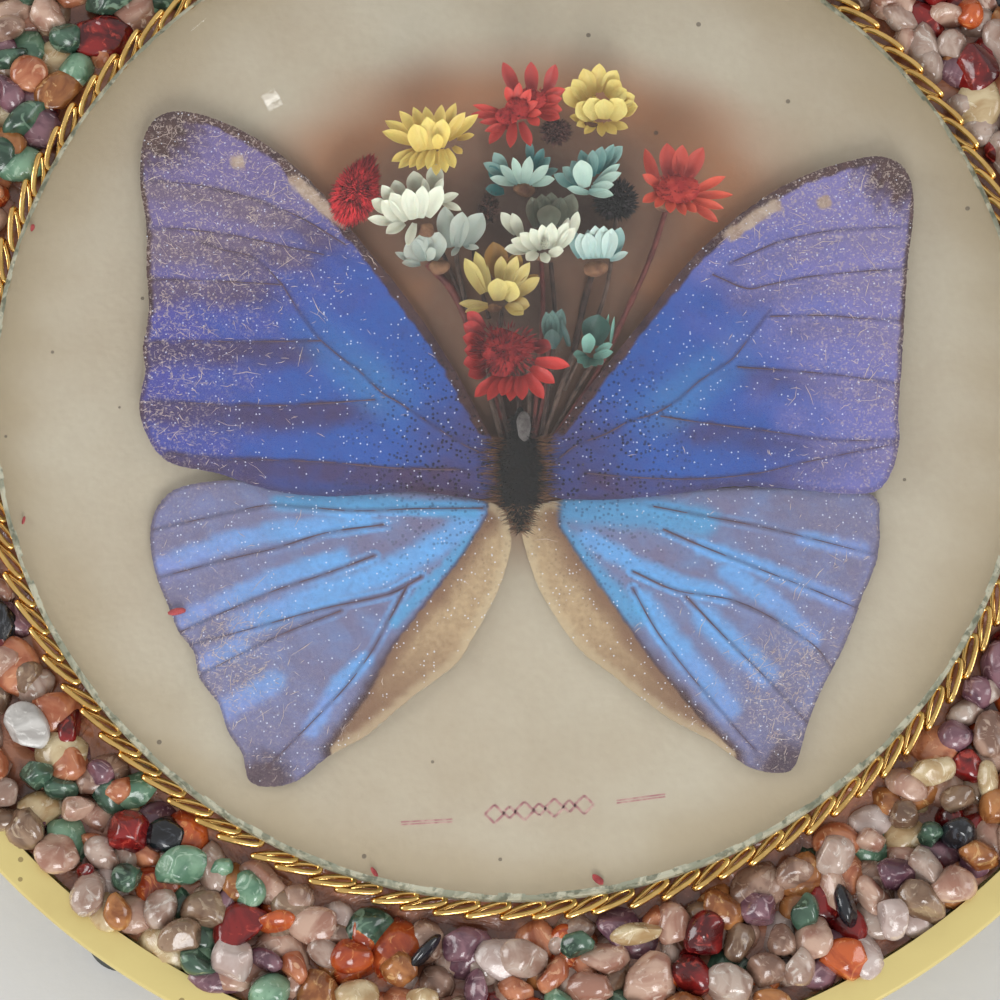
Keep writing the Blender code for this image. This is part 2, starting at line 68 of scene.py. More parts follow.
# Places taken from the solids
GLASS_LOW, GLASS_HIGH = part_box("convex_glass")
GLASS_MIDDLE = (GLASS_LOW + GLASS_HIGH) / 2
GLASS_RADIUS = (GLASS_HIGH.x - GLASS_LOW.x) / 2
BOARD_LOW, BOARD_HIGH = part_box("mount_board")
TRAY_LOW, TRAY_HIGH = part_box("tray")
TRAY_RADIUS = (TRAY_HIGH.x - TRAY_LOW.x) / 2
CHAIN_LOW, CHAIN_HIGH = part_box("chain")
BED_LOW, BED_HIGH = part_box("resin_bed")

# Sheet metal of the tray
SHEET = 1.2 * MM
FLANGE = 3.4 * MM
EDGE_ROLL = 0.3 * MM
LATHE_STEPS = 240

# Glass
GLASS_EDGE = 1.2 * MM
GLASS_THICKNESS = 1.8 * MM
GLASS_RINGS = 40
GROUND_WIDTH = 0.5 * MM

# Camera: looking down on the plaque, almost without perspective
CAMERA_AIM = Vector((-2.33 * MM, -11.98 * MM, 18.0 * MM))
CAMERA_DISTANCE = 0.8
CAMERA_ELEVATION = 75.0
CAMERA_LENS = 270.0

# Lamps: name, place, size and power; they stand low, so that the glass does not mirror them
LAMPS = (
    ("front_light", (0.15, -1.2, 0.75), 0.6, 11.0),
    ("left_light", (-1.25, 0.15, 0.42), 0.7, 8.0),
    ("right_light", (1.25, 0.0, 0.4), 0.7, 5.0),
    ("glint_light", (-0.43, 0.83, 0.76), 0.028, 0.018),
)

# Veins of each wing, from the root outward
LEFT_FORE_CELL = (
    (-3.5, -7.0), (-5.0, -6.3), (-7.2, -4.9), (-10.0, -3.0), (-11.8, -1.7), (-13.9, -0.4),
    (-16.2, 1.9), (-17.8, 3.1), (-20.0, 5.0), (-21.0, 6.1), (-22.6, 8.4), (-24.4, 11.4),
)
LEFT_FORE_VEINS = (
    LEFT_FORE_CELL,
    ((-24.4, 11.4), (-29.2, 11.7), (-33.0, 11.85), (-38.4, 12.0)),
    ((-20.3, 5.2), (-23.4, 5.15), (-30.0, 5.1), (-34.6, 5.2), (-38.5, 5.0)),
    ((-14.5, -1.3), (-21.5, -1.8), (-25.0, -1.95), (-30.0, -1.9), (-38.6, -1.3)),
    ((-5.0, -9.0), (-11.9, -8.85), (-18.6, -8.25), (-25.0, -7.95), (-30.0, -7.75), (-36.4, -7.2)),
    ((-17.7, 15.85), (-22.5, 18.85), (-27.3, 20.85), (-33.0, 22.4), (-38.8, 23.0)),
    ((-20.0, 14.75), (-25.0, 15.85), (-30.0, 16.95), (-35.0, 17.55), (-38.4, 17.75)),
    ((-24.4, 11.4), (-27.3, 14.35), (-30.7, 15.25), (-33.0, 16.05)),
)
RIGHT_FORE_CELL = (
    (5.1, -7.7), (6.9, -6.3), (10.0, -5.05), (12.5, -3.65), (15.0, -2.9), (17.7, -1.3),
    (20.0, 0.8), (23.3, 3.05), (25.0, 5.15), (27.5, 8.5),
)
RIGHT_FORE_VEINS = (
    RIGHT_FORE_CELL,
    ((27.5, 7.9), (32.8, 8.0), (36.8, 7.7), (41.4, 7.4)),
    ((24.0, 2.3), (30.0, 1.85), (35.0, 1.35), (41.2, 0.4)),
    ((15.8, -3.1), (20.0, -3.8), (27.4, -4.8), (31.7, -5.5), (35.0, -5.8), (40.9, -5.8)),
    ((8.0, -9.4), (14.0, -9.9), (20.0, -10.0), (26.0, -9.4), (31.0, -8.2), (40.5, -6.2)),
    ((23.3, 13.8), (28.2, 16.05), (31.4, 16.9), (35.0, 17.5), (42.8, 17.9)),
    ((21.4, 12.55), (25.0, 11.0), (27.4, 11.4), (31.4, 12.25), (38.2, 12.95), (42.3, 13.1)),
)
LEFT_HIND_VEINS = (
    ((-3.0, -13.0), (-10.0, -13.05), (-16.7, -13.3), (-25.0, -12.65), (-30.0, -13.55), (-38.0, -15.4)),
    ((-13.5, -14.8), (-19.6, -15.7), (-25.0, -17.4), (-30.0, -18.6), (-36.9, -20.5)),
    ((-14.5, -18.2), (-20.0, -20.3), (-25.0, -22.0), (-30.0, -24.2), (-34.9, -26.5)),
    ((-9.5, -20.5), (-13.0, -22.4), (-20.0, -24.0), (-28.0, -26.3), (-33.8, -27.9)),
    ((-18.0, -24.2), (-22.0, -25.8), (-26.0, -27.6), (-32.7, -31.1)),
    ((-10.9, -21.2), (-14.5, -28.2), (-17.5, -32.5), (-21.5, -36.8), (-25.5, -41.0)),
)
LEFT_FOLD_LINE = ((-2.5, -13.7), (-5.2, -18.2), (-8.0, -22.0), (-12.5, -28.0), (-15.2, -33.5), (-19.0, -39.0))
RIGHT_HIND_VEINS = (
    ((15.0, -12.8), (20.0, -13.8), (25.0, -14.75), (30.0, -15.9), (38.2, -18.05)),
    ((16.0, -15.3), (20.0, -17.1), (28.0, -20.4), (32.0, -22.0), (36.6, -24.0)),
    ((12.8, -19.9), (17.4, -22.0), (23.0, -22.95), (27.4, -24.95), (31.7, -27.85), (33.7, -30.4)),
    ((18.4, -22.6), (22.5, -27.1), (27.1, -31.85), (31.0, -36.3)),
    ((12.8, -21.8), (15.35, -26.5), (18.9, -31.3), (23.5, -36.9), (25.6, -39.3)),
)
RIGHT_FOLD_LINE = ((5.0, -15.0), (7.1, -18.3), (11.5, -24.7), (15.0, -30.0), (20.0, -36.1), (23.5, -39.5))

# Leading edges, root to apex, and pale spots: x, y, half length, half width
LEFT_COSTA = ((-2.8, -4.3), (-8.4, 5.9), (-15.8, 15.9), (-25.3, 26.4), (-31.1, 29.7), (-36.0, 30.8))
RIGHT_COSTA = ((5.2, -4.2), (13.9, 7.5), (18.8, 13.9), (24.7, 19.5), (30.4, 23.2), (36.0, 25.2), (39.6, 25.7))
LEFT_APEX = (-38.6, 29.6)
RIGHT_APEX = (42.4, 24.8)
LEFT_PALE_DASH = ((-23.2, 22.9), (-18.4, 18.5))
RIGHT_PALE_DASH = ((23.3, 16.9), (28.2, 20.3))
LEFT_PALE_SPOT = (-29.2, 25.2)
RIGHT_PALE_SPOT = (33.3, 20.6)

# Bright rays of the hindwings: tint, width and the line that each follows
LEFT_RAYS = (
    ("turquoise", 1.3, ((-24.6, -12.4), (-15.5, -12.4), (-4.2, -13.2))),
    ("blue", 1.5, ((-36.7, -19.1), (-29.4, -16.5), (-23.1, -15.2), (-15.5, -14.3))),
    ("blue", 1.4, ((-34.4, -25.1), (-28.6, -22.3), (-23.1, -19.9), (-18.1, -18.4))),
    ("blue", 1.9, ((-28.6, -25.9), (-23.1, -23.6), (-18.1, -21.8), (-13.0, -19.9), (-8.0, -17.1), (-4.5, -14.5))),
    ("blue", 1.5, ((-31.9, -29.6), (-28.6, -28.0))),
    ("blue", 1.8, ((-30.1, -35.0), (-25.1, -31.9))),
    ("blue", 1.3, ((-21.1, -36.9), (-18.1, -32.2), (-15.5, -29.6))),
    ("turquoise", 0.9, ((-12.3, -25.4), (-8.0, -20.5), (-4.2, -16.3))),
)
RIGHT_RAYS = (
    ("turquoise", 2.3, ((4.3, -12.9), (14.9, -13.7), (20.2, -14.5))),
    ("blue", 1.4, ((8.1, -16.3), (12.9, -19.1), (17.4, -21.2), (22.2, -22.5))),
    ("blue", 1.3, ((20.2, -17.3), (22.4, -18.1), (27.5, -19.9), (35.0, -23.3))),
    ("blue", 1.5, ((22.9, -19.9), (27.7, -23.3), (31.5, -27.0))),
    ("blue", 1.2, ((30.8, -16.3), (37.0, -17.6))),
    ("turquoise", 1.8, ((4.8, -15.5), (8.8, -20.5), (12.9, -24.6))),
    ("blue", 1.8, ((13.9, -23.3), (16.4, -27.0), (20.2, -31.4), (22.7, -34.8))),
    ("blue", 2.0, ((20.4, -24.9), (26.5, -30.9))),
)

# Wings: root, veins, then leading edge, apex and pale marks, or fold line, tip, worn place and rays
WINGS = {
    "forewing_left": dict(root=(-2.0, -8.5), veins=LEFT_FORE_VEINS, costa=LEFT_COSTA, apex=LEFT_APEX,
                          dash=LEFT_PALE_DASH, spot=LEFT_PALE_SPOT, strokes=600),
    "forewing_right": dict(root=(4.0, -8.5), veins=RIGHT_FORE_VEINS, costa=RIGHT_COSTA, apex=RIGHT_APEX,
                           dash=RIGHT_PALE_DASH, spot=RIGHT_PALE_SPOT, strokes=300),
    "hindwing_left": dict(root=(-1.0, -12.2), veins=LEFT_HIND_VEINS, fold=LEFT_FOLD_LINE, tip=(-26.0, -43.0),
                          worn=(-30.5, -29.5), rays=LEFT_RAYS, strokes=260),
    "hindwing_right": dict(root=(3.0, -12.2), veins=RIGHT_HIND_VEINS, fold=RIGHT_FOLD_LINE, tip=(29.0, -41.5),
                           worn=(29.0, -32.5), rays=RIGHT_RAYS, strokes=280),
}
WING_OUTLINE_STEPS = 8
WING_ROWS = 84
STROKE_RADIUS = 0.032 * MM

# Open flower heads: colours of the petals' tips and hollows, the hollows' colour partly painted shade;
# fans of petals from the back to the front, tufted discs and calyxes.  A fan runs from its first petal to its
# last: first and last base, first and last heading in degrees, count, length, width, and
# depth of colour from 0 to 10, partly the petals' own colour and partly painted shade on petals lying behind.  A disc
# or calyx is x, y, half width and half depth.
OPEN_FLOWERS = {
    "flower_yellow_left": (((234, 214, 124), (190, 146, 52)), (
        ((-5.8, 26.9), (-6.2, 26.0), 0, -52, 2, 1.8, 0.8, 4),
        ((-10.0, 26.3), (-6.8, 26.6), 165, 35, 9, 4.1, 1.35, 3),
        ((-10.3, 25.4), (-7.0, 25.4), 218, 288, 8, 3.1, 1.1, 2),
        ((-9.6, 25.1), (-7.6, 25.5), 108, 86, 3, 2.9, 2.0, 1),
        ((-7.9, 25.3), (-7.9, 25.3), 85, 85, 1, 1.3, 1.3, 2),
    ), ((-8.3, 27.2, 0.5, 0.8),), ((-8.2, 25.2, 1.4, 0.4),)),
    "flower_white_large": (((226, 225, 206), (140, 140, 122)), (
        ((-11.7, 19.5), (-8.3, 20.8), 108, 85, 3, 2.5, 1.8, 5),
        ((-8.9, 19.8), (-7.5, 19.8), 98, -28, 4, 2.5, 0.95, 2),
        ((-12.5, 17.4), (-10.3, 17.3), 178, 257, 3, 3.0, 1.2, 1),
        ((-12.9, 18.5), (-12.2, 18.8), 155, 125, 2, 2.4, 1.5, 1),
        ((-11.8, 17.4), (-9.0, 17.9), 140, 65, 5, 3.1, 1.8, 0),
    ), (), ((-9.0, 16.6, 0.9, 0.9),)),
    "flower_bud_upper": (((200, 202, 190), (112, 126, 120)), (
        ((-5.6, 15.7), (-5.0, 15.7), 220, 350, 2, 1.8, 0.7, 3),
        ((-6.7, 15.5), (-5.1, 15.6), 98, 62, 3, 3.9, 2.3, 4),
    ), (), ()),
    "flower_bud_lower": (((200, 202, 190), (112, 126, 120)), (
        ((-10.2, 13.9), (-9.7, 13.7), 168, 188, 2, 2.2, 0.8, 5),
        ((-9.7, 14.0), (-8.5, 14.1), 130, 76, 3, 2.4, 2.3, 4),
        ((-9.1, 14.2), (-9.1, 14.2), 27, 27, 1, 1.3, 1.4, 1),
    ), (), ((-7.7, 13.3, 1.2, 0.9),)),
    "flower_red_top": (((212, 66, 54), (130, 18, 24)), (
        ((0.7, 31.6), (3.7, 31.8), 112, 68, 3, 3.5, 1.5, 5),
        ((-0.9, 29.7), (0.1, 28.4), 172, 205, 4, 3.4, 0.9, 3),
        ((3.0, 31.2), (2.9, 29.6), 12, -30, 4, 2.8, 1.3, 3),
        ((-0.6, 28.6), (1.0, 28.5), 236, 285, 3, 3.8, 1.3, 4),
        ((0.2, 30.4), (1.8, 29.2), 118, -60, 6, 2.0, 1.1, 2),
    ), ((2.2, 31.0, 1.7, 1.3), (0.8, 29.9, 1.7, 1.3), (-0.4, 29.1, 1.4, 1.1)), ()),
    "flower_yellow_right": (((232, 214, 134), (196, 156, 58)), (
        ((8.2, 29.7), (10.4, 29.3), 176, 338, 6, 2.2, 1.05, 4),
        ((7.3, 31.3), (9.2, 32.7), 142, 88, 4, 2.5, 1.9, 3),
        ((10.0, 32.6), (11.3, 30.4), 60, 0, 5, 2.2, 1.8, 2),
        ((8.4, 29.6), (10.6, 29.5), 142, 56, 4, 2.0, 2.2, 0),
    ), ((8.8, 31.6, 0.6, 0.5),), ((8.4, 29.1, 0.9, 0.4),)),
    "flower_teal_middle": (((186, 206, 192), (22, 98, 100)), (
        ((-0.8, 21.8), (-1.2, 22.6), 183, 135, 2, 1.8, 1.2, 9),
        ((2.1, 24.6), (2.9, 23.3), 92, 12, 4, 2.3, 1.0, 8),
        ((-0.5, 23.4), (-0.2, 23.1), 128, 152, 2, 2.8, 1.4, 5),
        ((0.3, 22.5), (2.2, 22.4), 172, 5, 6, 2.5, 1.15, 1),
    ), (), ((1.3, 21.9, 1.2, 0.8),)),
    "flower_teal_right": (((186, 206, 192), (22, 98, 100)), (
        ((7.0, 21.4), (9.8, 23.5), 160, 40, 8, 2.6, 1.4, 7),
        ((8.2, 20.7), (8.2, 20.7), 180, 180, 1, 2.2, 1.0, 3),
        ((9.0, 21.8), (8.2, 20.8), 34, -22, 4, 2.8, 1.1, 2),
        ((7.8, 21.2), (7.8, 21.2), 100, 100, 1, 2.9, 2.1, 1),
    ), (), ()),
    "flower_red_right": (((216, 82, 56), (140, 24, 26)), (
        ((15.6, 21.0), (15.6, 21.0), 106, 106, 1, 5.6, 1.5, 4),
        ((16.9, 22.2), (18.5, 22.0), 96, 62, 3, 3.6, 1.8, 5),
        ((19.3, 20.9), (19.2, 19.6), 18, -42, 4, 3.9, 1.0, 1),
        ((18.2, 19.9), (15.7, 20.6), 308, 222, 5, 2.5, 1.1, 1),
        ((15.9, 21.3), (15.9, 21.3), 158, 158, 1, 2.2, 1.2, 3),
    ), ((17.6, 21.0, 2.5, 1.9),), ((16.1, 19.1, 0.9, 0.5),)),
    "flower_white_middle": (((226, 225, 206), (140, 140, 122)), (
        ((0.5, 16.3), (1.1, 15.8), 133, 117, 2, 2.4, 1.3, 4),
        ((6.4, 16.1), (5.3, 15.2), 73, 72, 2, 2.6, 1.1, 3),
        ((1.9, 14.4), (5.0, 14.5), 186, 42, 8, 2.5, 1.4, 1),
        ((3.9, 13.9), (2.7, 14.0), 347, 232, 3, 1.9, 1.2, 1),
    ), ((3.5, 14.8, 0.5, 0.5),), ((3.1, 13.4, 0.8, 0.3),)),
    "flower_pale_ball": (((144, 144, 122), (64, 70, 60)), (
        ((2.8, 17.8), (5.5, 17.8), 103, 72, 5, 3.2, 2.0, 6),
        ((4.0, 17.6), (4.0, 17.6), 90, 90, 1, 2.1, 2.7, 4),
    ), (), ()),
    "flower_white_right": (((206, 218, 210), (92, 146, 146)), (
        ((7.4, 14.4), (10.8, 14.5), 109, 72, 4, 2.6, 1.5, 5),
        ((10.5, 14.1), (10.5, 14.1), 9, 9, 1, 1.8, 0.8, 3),
        ((8.0, 14.2), (10.2, 14.2), 108, 80, 5, 2.8, 1.75, 1),
    ), (), ((8.9, 13.0, 1.4, 1.0),)),
    "flower_yellow_middle": (((222, 204, 126), (128, 90, 34)), (
        ((-1.2, 12.1), (-1.2, 12.1), 102, 102, 1, 3.6, 2.8, 10),
        ((0.0, 12.0), (0.5, 10.1), 77, 33, 2, 2.9, 1.6, 8),
        ((-3.0, 10.4), (-2.4, 10.6), 121, 110, 2, 4.4, 1.55, 2),
        ((-1.2, 11.3), (0.5, 10.0), 90, 35, 4, 3.2, 1.3, 3),
        ((-0.5, 9.1), (-0.3, 9.0), 309, 350, 2, 2.6, 1.6, 5),
        ((-2.5, 8.9), (-2.5, 8.9), 206, 185, 2, 3.1, 0.95, 4),
        ((-1.4, 9.4), (-0.7, 9.5), 90, 57, 2, 1.9, 2.3, 0),
    ), (), ((-1.8, 8.7, 0.8, 0.5),)),
    "flower_red_large": (((204, 46, 38), (96, 14, 24)), (
        ((2.2, 3.9), (2.2, 3.9), -20, -20, 1, 2.2, 1.6, 6),
        ((-2.9, 5.8), (-2.8, 1.0), 146, 208, 6, 2.4, 1.7, 5),
        ((-1.5, 0.4), (0.9, 0.4), 228, 276, 5, 3.2, 1.4, 2),
        ((1.6, 0.6), (2.5, 2.0), 302, 342, 3, 3.7, 1.4, 1),
    ), ((-0.7, 3.1, 3.7, 3.1),), ()),
    "flower_teal_bud": (((126, 158, 148), (34, 64, 62)), (
        ((6.2, 4.6), (6.0, 4.7), 112, 106, 2, 2.5, 0.6, 9),
        ((4.2, 4.7), (4.6, 4.7), 100, 78, 3, 3.7, 1.6, 6),
        ((4.3, 4.2), (4.3, 4.2), 90, 90, 1, 1.8, 1.5, 8),
    ), (), ()),
    "flower_teal_small": (((128, 176, 162), (22, 62, 54)), (
        ((8.7, 4.7), (8.7, 4.7), 80, 80, 1, 3.5, 3.0, 10),
        ((9.7, 4.9), (10.5, 4.7), 78, 82, 2, 3.1, 0.4, 4),
        ((8.0, 3.3), (8.8, 3.2), 185, 310, 5, 1.7, 1.1, 5),
        ((8.7, 3.3), (8.9, 3.8), 0, 10, 2, 2.2, 0.9, 3),
        ((8.0, 3.7), (8.0, 3.7), 80, 80, 1, 1.6, 1.5, 1),
    ), (), ()),
}

# Bristly heads: turn in degrees, taper towards the far end, bristles, colours
BRISTLY_FLOWERS = {
    "flower_bud_brown": (0, 0.0, 160, ((96, 64, 52), (58, 36, 30))),
    "flower_dark_head": (0, 0.0, 260, ((118, 78, 72), (86, 54, 50))),
    "flower_red_fuzzy": (-22, 0.4, 1500, ((226, 46, 54), (150, 18, 30))),
    "flower_black_fuzzy": (-20, 0.1, 420, ((60, 52, 56), (10, 8, 10))),
}
PETAL_THICKNESS = 0.07 * MM
PETAL_ROWS = 10
PETAL_COLUMNS = 5
PETAL_STEP = 0.06 * MM
PETAL_START = 0.35 * MM
TUFT_HAIRS_PER_AREA = 26
TUFT_HAIR = 0.11 * MM
DOME_CLEARANCE = 0.35 * MM

# Stems: start, end, radius in millimetres
STEM_MEETING = (0.9, -4.6)
STEMS = (
    ((-8.9, 14.0), (-5.5, 9.5), (-0.6, -4.0), 0.42), ((-9.4, 17.9), (-6.6, 13.4), (-0.4, -5.0), 0.24),
    ((-6.0, 15.6), (-5.2, 11.0), (-1.2, -4.4), 0.26), ((16.6, 20.2), (14.6, 14.0), (10.6, 5.0), 0.30),
    ((9.0, 14.0), (7.8, 10.0), (6.6, 4.0), 0.34), ((6.6, 4.0), (4.6, -1.6), (2.6, -7.4), 0.30),
    ((3.2, 14.2), (3.3, 8.0), (2.2, -5.6), 0.26), ((4.2, 14.0), (4.6, 6.0), (3.2, -5.0), 0.24),
    ((8.7, 3.2), (6.4, -1.0), (3.0, -7.6), 0.26), ((4.0, 5.2), (3.6, 0.0), (2.0, -7.0), 0.26),
    ((-1.0, 9.0), (-1.6, 2.0), (-0.2, -6.0), 0.26), ((-2.6, 4.0), (-2.2, -1.0), (-0.6, -7.0), 0.24),
    ((-1.4, 2.6), (-1.1, -2.0), (0.1, -7.6), 0.22), ((0.8, 2.0), (0.8, -2.4), (0.9, -7.8), 0.24),
    ((1.8, 2.4), (1.9, -2.0), (1.5, -7.4), 0.22), ((10.6, 5.0), (8.4, 0.6), (3.6, -6.6), 0.28),
    ((-3.4, 20.4), (-4.0, 15.0), (-2.4, 8.0), 0.22), ((11.2, 19.2), (9.8, 10.0), (5.6, 0.0), 0.22),
)

# Stones that are not solids of their own: kind, x, y, half length, half width, turn
SMALL_STONES = (
    ("rose", -55.5, -30.0, 2.7, 2.3, 10), ("peach", -47.8, -41.2, 2.3, 1.8, 30), ("black", -37.6, -48.4, 2.4, 2.0, 0),
    ("green", -41.3, -53.3, 1.8, 1.8, 0), ("jade", -31.7, -52.3, 1.5, 1.5, 0), ("jade", -28.7, -54.5, 1.8, 2.0, 0),
    ("garnet", -46.0, -52.7, 1.0, 0.8, 0), ("rose", -48.9, -50.4, 3.0, 2.8, 20), ("smoky", -52.3, -47.8, 2.4, 2.6, 0),
    ("peach", -56.0, -41.0, 1.8, 2.8, 0), ("amber", -42.7, -56.6, 1.8, 2.4, 10), ("smoky", -33.2, -56.8, 2.8, 2.2, 0),
    ("jade", -26.3, -65.6, 2.4, 2.2, 30), ("orange", -25.8, -58.0, 2.4, 1.2, 0), ("rose", -21.5, -58.3, 3.0, 2.3, 0),
    ("amethyst", -6.2, -60.7, 2.6, 2.2, 0), ("amethyst", -4.8, -65.0, 1.3, 2.4, 0), ("rose", 7.2, -64.9, 3.2, 2.0, 0),
    ("orange", 6.4, -68.4, 2.4, 1.3, 0), ("rose", 13.4, -64.2, 3.2, 3.0, 40), ("orange", 0.4, -67.6, 2.6, 1.6, 10),
    ("taupe", 28.6, -52.9, 2.2, 1.8, 20), ("rose", 36.6, -49.2, 1.9, 1.5, 0), ("amethyst", 39.2, -52.8, 2.6, 1.8, 0),
    ("orange", 33.9, -62.0, 2.8, 2.3, 0), ("clear", 29.0, -62.8, 1.8, 2.4, 0), ("clear", 21.8, -65.0, 2.8, 3.0, 60),
    ("amber", 26.0, -66.6, 2.2, 1.4, 0), ("green", 42.9, -48.6, 1.7, 1.5, 0), ("smoky", 40.3, -46.4, 1.7, 1.8, 0),
    ("amethyst", 45.8, -38.0, 2.0, 1.9, 0), ("taupe", 49.6, -38.0, 2.2, 2.6, 0), ("amethyst", 48.2, -33.4, 1.9, 1.8, 0),
    ("amber", 50.0, -46.0, 1.8, 2.3, 0), ("cream", 49.0, -42.6, 1.3, 2.2, 0), ("green", -49.3, 39.8, 2.3, 1.9, 0),
    ("peach", -53.2, 35.6, 2.3, 2.6, 0), ("green", -53.6, 30.4, 3.2, 1.8, 40), ("taupe", -55.8, 40.6, 2.0, 1.8, 0),
    ("garnet", 44.8, 45.0, 2.2, 2.0, 0), ("orange", 48.6, 42.4, 1.6, 1.9, 0), ("amethyst", 53.5, 29.6, 2.0, 2.2, 0),
    ("green", -56.5, 26.4, 2.2, 2.2, 0), ("rose", -58.5, -36.0, 2.4, 2.6, 0), ("amethyst", 53.6, -34.0, 2.4, 2.6, 0),
    ("rose", 45.2, -54.0, 2.6, 2.2, 0), ("amber", 17.0, -67.0, 2.4, 1.8, 20), ("cream", -17.4, -66.2, 2.6, 2.0, 20),
)
STONE_LOOKS = {
    "rose": ((206, 172, 152), (164, 118, 100), (230, 208, 192), 0.2, 0.16, "stone_light"),
    "clear": ((212, 190, 176), (168, 136, 120), (236, 226, 216), 0.35, 0.1, "stone_light"),
    "milky": ((206, 190, 184), (178, 156, 148), (232, 222, 216), 0.12, 0.22, "stone_light"),
    "white": ((206, 204, 200), (156, 152, 148), (228, 226, 222), 0.0, 0.32, "stone_light"),
    "cream": ((210, 192, 154), (176, 146, 104), (232, 222, 196), 0.12, 0.24, "stone_light"),
    "taupe": ((172, 140, 122), (122, 92, 78), (204, 180, 162), 0.12, 0.24, "stone_light"),
    "peach": ((204, 138, 102), (160, 88, 58), (226, 178, 142), 0.12, 0.18, "stone_light"),
    "amber": ((190, 128, 76), (134, 78, 42), (220, 176, 120), 0.2, 0.14, "stone_red"),
    "orange": ((204, 98, 48), (150, 54, 26), (232, 150, 88), 0.2, 0.14, "stone_red"),
    "garnet": ((132, 30, 30), (72, 12, 16), (180, 62, 50), 0.06, 0.12, "stone_red"),
    "jade": ((130, 166, 138), (86, 124, 100), (176, 202, 178), 0.1, 0.2, "stone_green"),
    "green": ((74, 102, 84), (40, 62, 50), (120, 148, 126), 0.03, 0.2, "stone_green"),
    "amethyst": ((138, 100, 110), (92, 60, 74), (184, 154, 160), 0.15, 0.16, "stone_dark"),
    "smoky": ((160, 132, 108), (114, 86, 68), (196, 174, 148), 0.25, 0.14, "stone_dark"),
    "black": ((28, 30, 36), (12, 12, 16), (64, 68, 76), 0.0, 0.12, "stone_dark"),
}
CHIP_KINDS = ("rose",) * 10 + ("taupe",) * 4 + ("smoky",) * 4 + ("amethyst",) * 4 + ("clear",) * 6 + (
    "peach",) * 3 + ("orange",) * 3 + ("garnet",) * 3 + ("amber",) * 3 + ("cream",) * 2 + ("milky",) * 2 + (
    "jade",) * 2 + ("green",) * 3 + ("black",) * 1
SOLID_STONES = {
    "stone_white_oval": "white", "stone_green_dark": "green", "stone_amethyst_left": "amethyst",
    "stone_clear_left": "rose", "stone_garnet_left": "garnet", "stone_green_pale": "jade",
    "stone_smoky": "smoky", "stone_milky_left": "milky", "stone_orange": "orange",
    "stone_black_left": "black", "stone_cream_low": "cream", "stone_clear_front": "clear",
    "stone_green_front": "green", "stone_cream_oval": "cream", "stone_jasper_front": "garnet",
    "stone_amethyst_right": "amethyst", "stone_green_right": "green", "stone_black_right": "black",
    "stone_clear_right": "clear", "stone_milky_right": "milky", "stone_cream_speckled": "cream",
    "stone_dark_round": "black", "stone_green_upper": "green", "stone_red_upper": "garnet",
}

# Print under the butterfly: the two dashes and a row of plain diamonds
DASHES = (((-11.6, -46.9), (-6.2, -46.6)), ((11.0, -44.6), (16.1, -43.9)))
DIAMOND_ROW = ((-1.8, -45.9), (7.6, -44.9))
DIAMOND_COUNT = 7
CRUMBS = (
    (9.0, -53.0, 0.8, 0.42, -40, 20.0), (-14.4, -52.2, 0.7, 0.25, -55, 20.0),
    (-35.2, -24.4, 1.0, 0.4, 10, 21.0), (-51.2, 18.2, 0.5, 0.25, 80, 20.0), (-51.6, -14.2, 0.5, 0.2, 70, 20.0),
)


def linear(colour):
    """A screen colour of 0 to 255 as the linear colour that shaders take."""
    shares = [c / 255.0 for c in colour]
    return tuple(c / 12.92 if c <= 0.04045 else ((c + 0.055) / 1.055) ** 2.4 for c in shares) + (1.0,)


def on_card(x, y, z=0.0):
    """A place in millimetres from the middle of the glass, with z in millimetres above the table."""
    return Vector((GLASS_MIDDLE.x + x * MM, GLASS_MIDDLE.y + y * MM, z * MM))


def ramp(values, start, end):
    """Smooth step from 0 at start to 1 at end."""
    share = np.clip((values - start) / (end - start), 0.0, 1.0)
    return share * share * (3.0 - 2.0 * share)


class Shape:
    """Vertices, faces, face materials and vertex masks of one piece."""

    def __init__(self):
        self.verts = []
        self.faces = []
        self.marks = []
        self.masks = {}

    def add(self, verts, faces, mark=0, **masks):
        start = len(self.verts)
        self.verts.extend(tuple(v) for v in verts)
        self.faces.extend(tuple(start + i for i in face) for face in faces)
        self.marks.extend([mark] * len(faces))
        for name, values in masks.items():
            self.masks.setdefault(name, []).append((start, values))

    def piece(self, name, materials, slot, replaced=(), sharp=40.0):
        """Make the object, facing out, riding on the plaque."""
        mesh = bpy.data.meshes.new(name)
        mesh.from_pydata(self.verts, [], self.faces)
        mesh.polygons.foreach_set("material_index", self.marks)
        for mask, parts in self.masks.items():
            values = np.zeros(len(self.verts), np.float32)
            for start, numbers in parts:
                values[start:start + len(numbers)] = numbers
            mesh.attributes.new(mask, "FLOAT", "POINT").data.foreach_set("value", values)
        shape = bmesh.new()
        shape.from_mesh(mesh)
        bmesh.ops.recalc_face_normals(shape, faces=shape.faces[:])
        shape.to_mesh(mesh)
        shape.free()
        mesh.shade_smooth()
        mesh.set_sharp_from_angle(angle=math.radians(sharp))
        for material in materials:
            mesh.materials.append(material)
        made = bpy.data.objects.new(name, mesh)
        bpy.context.scene.collection.objects.link(made)
        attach(made, "root")
        if replaced:
            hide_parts(*replaced)
        return made


def grid_faces(rows, columns, wrap_rows=False, wrap_columns=False):
    faces = []
    for r in range(rows if wrap_rows else rows - 1):
        below = r * columns
        above = ((r + 1) % rows) * columns
        for c in range(columns if wrap_columns else columns - 1):
            d = (c + 1) % columns
            faces.append((below + c, below + d, above + d, above + c))
    return faces


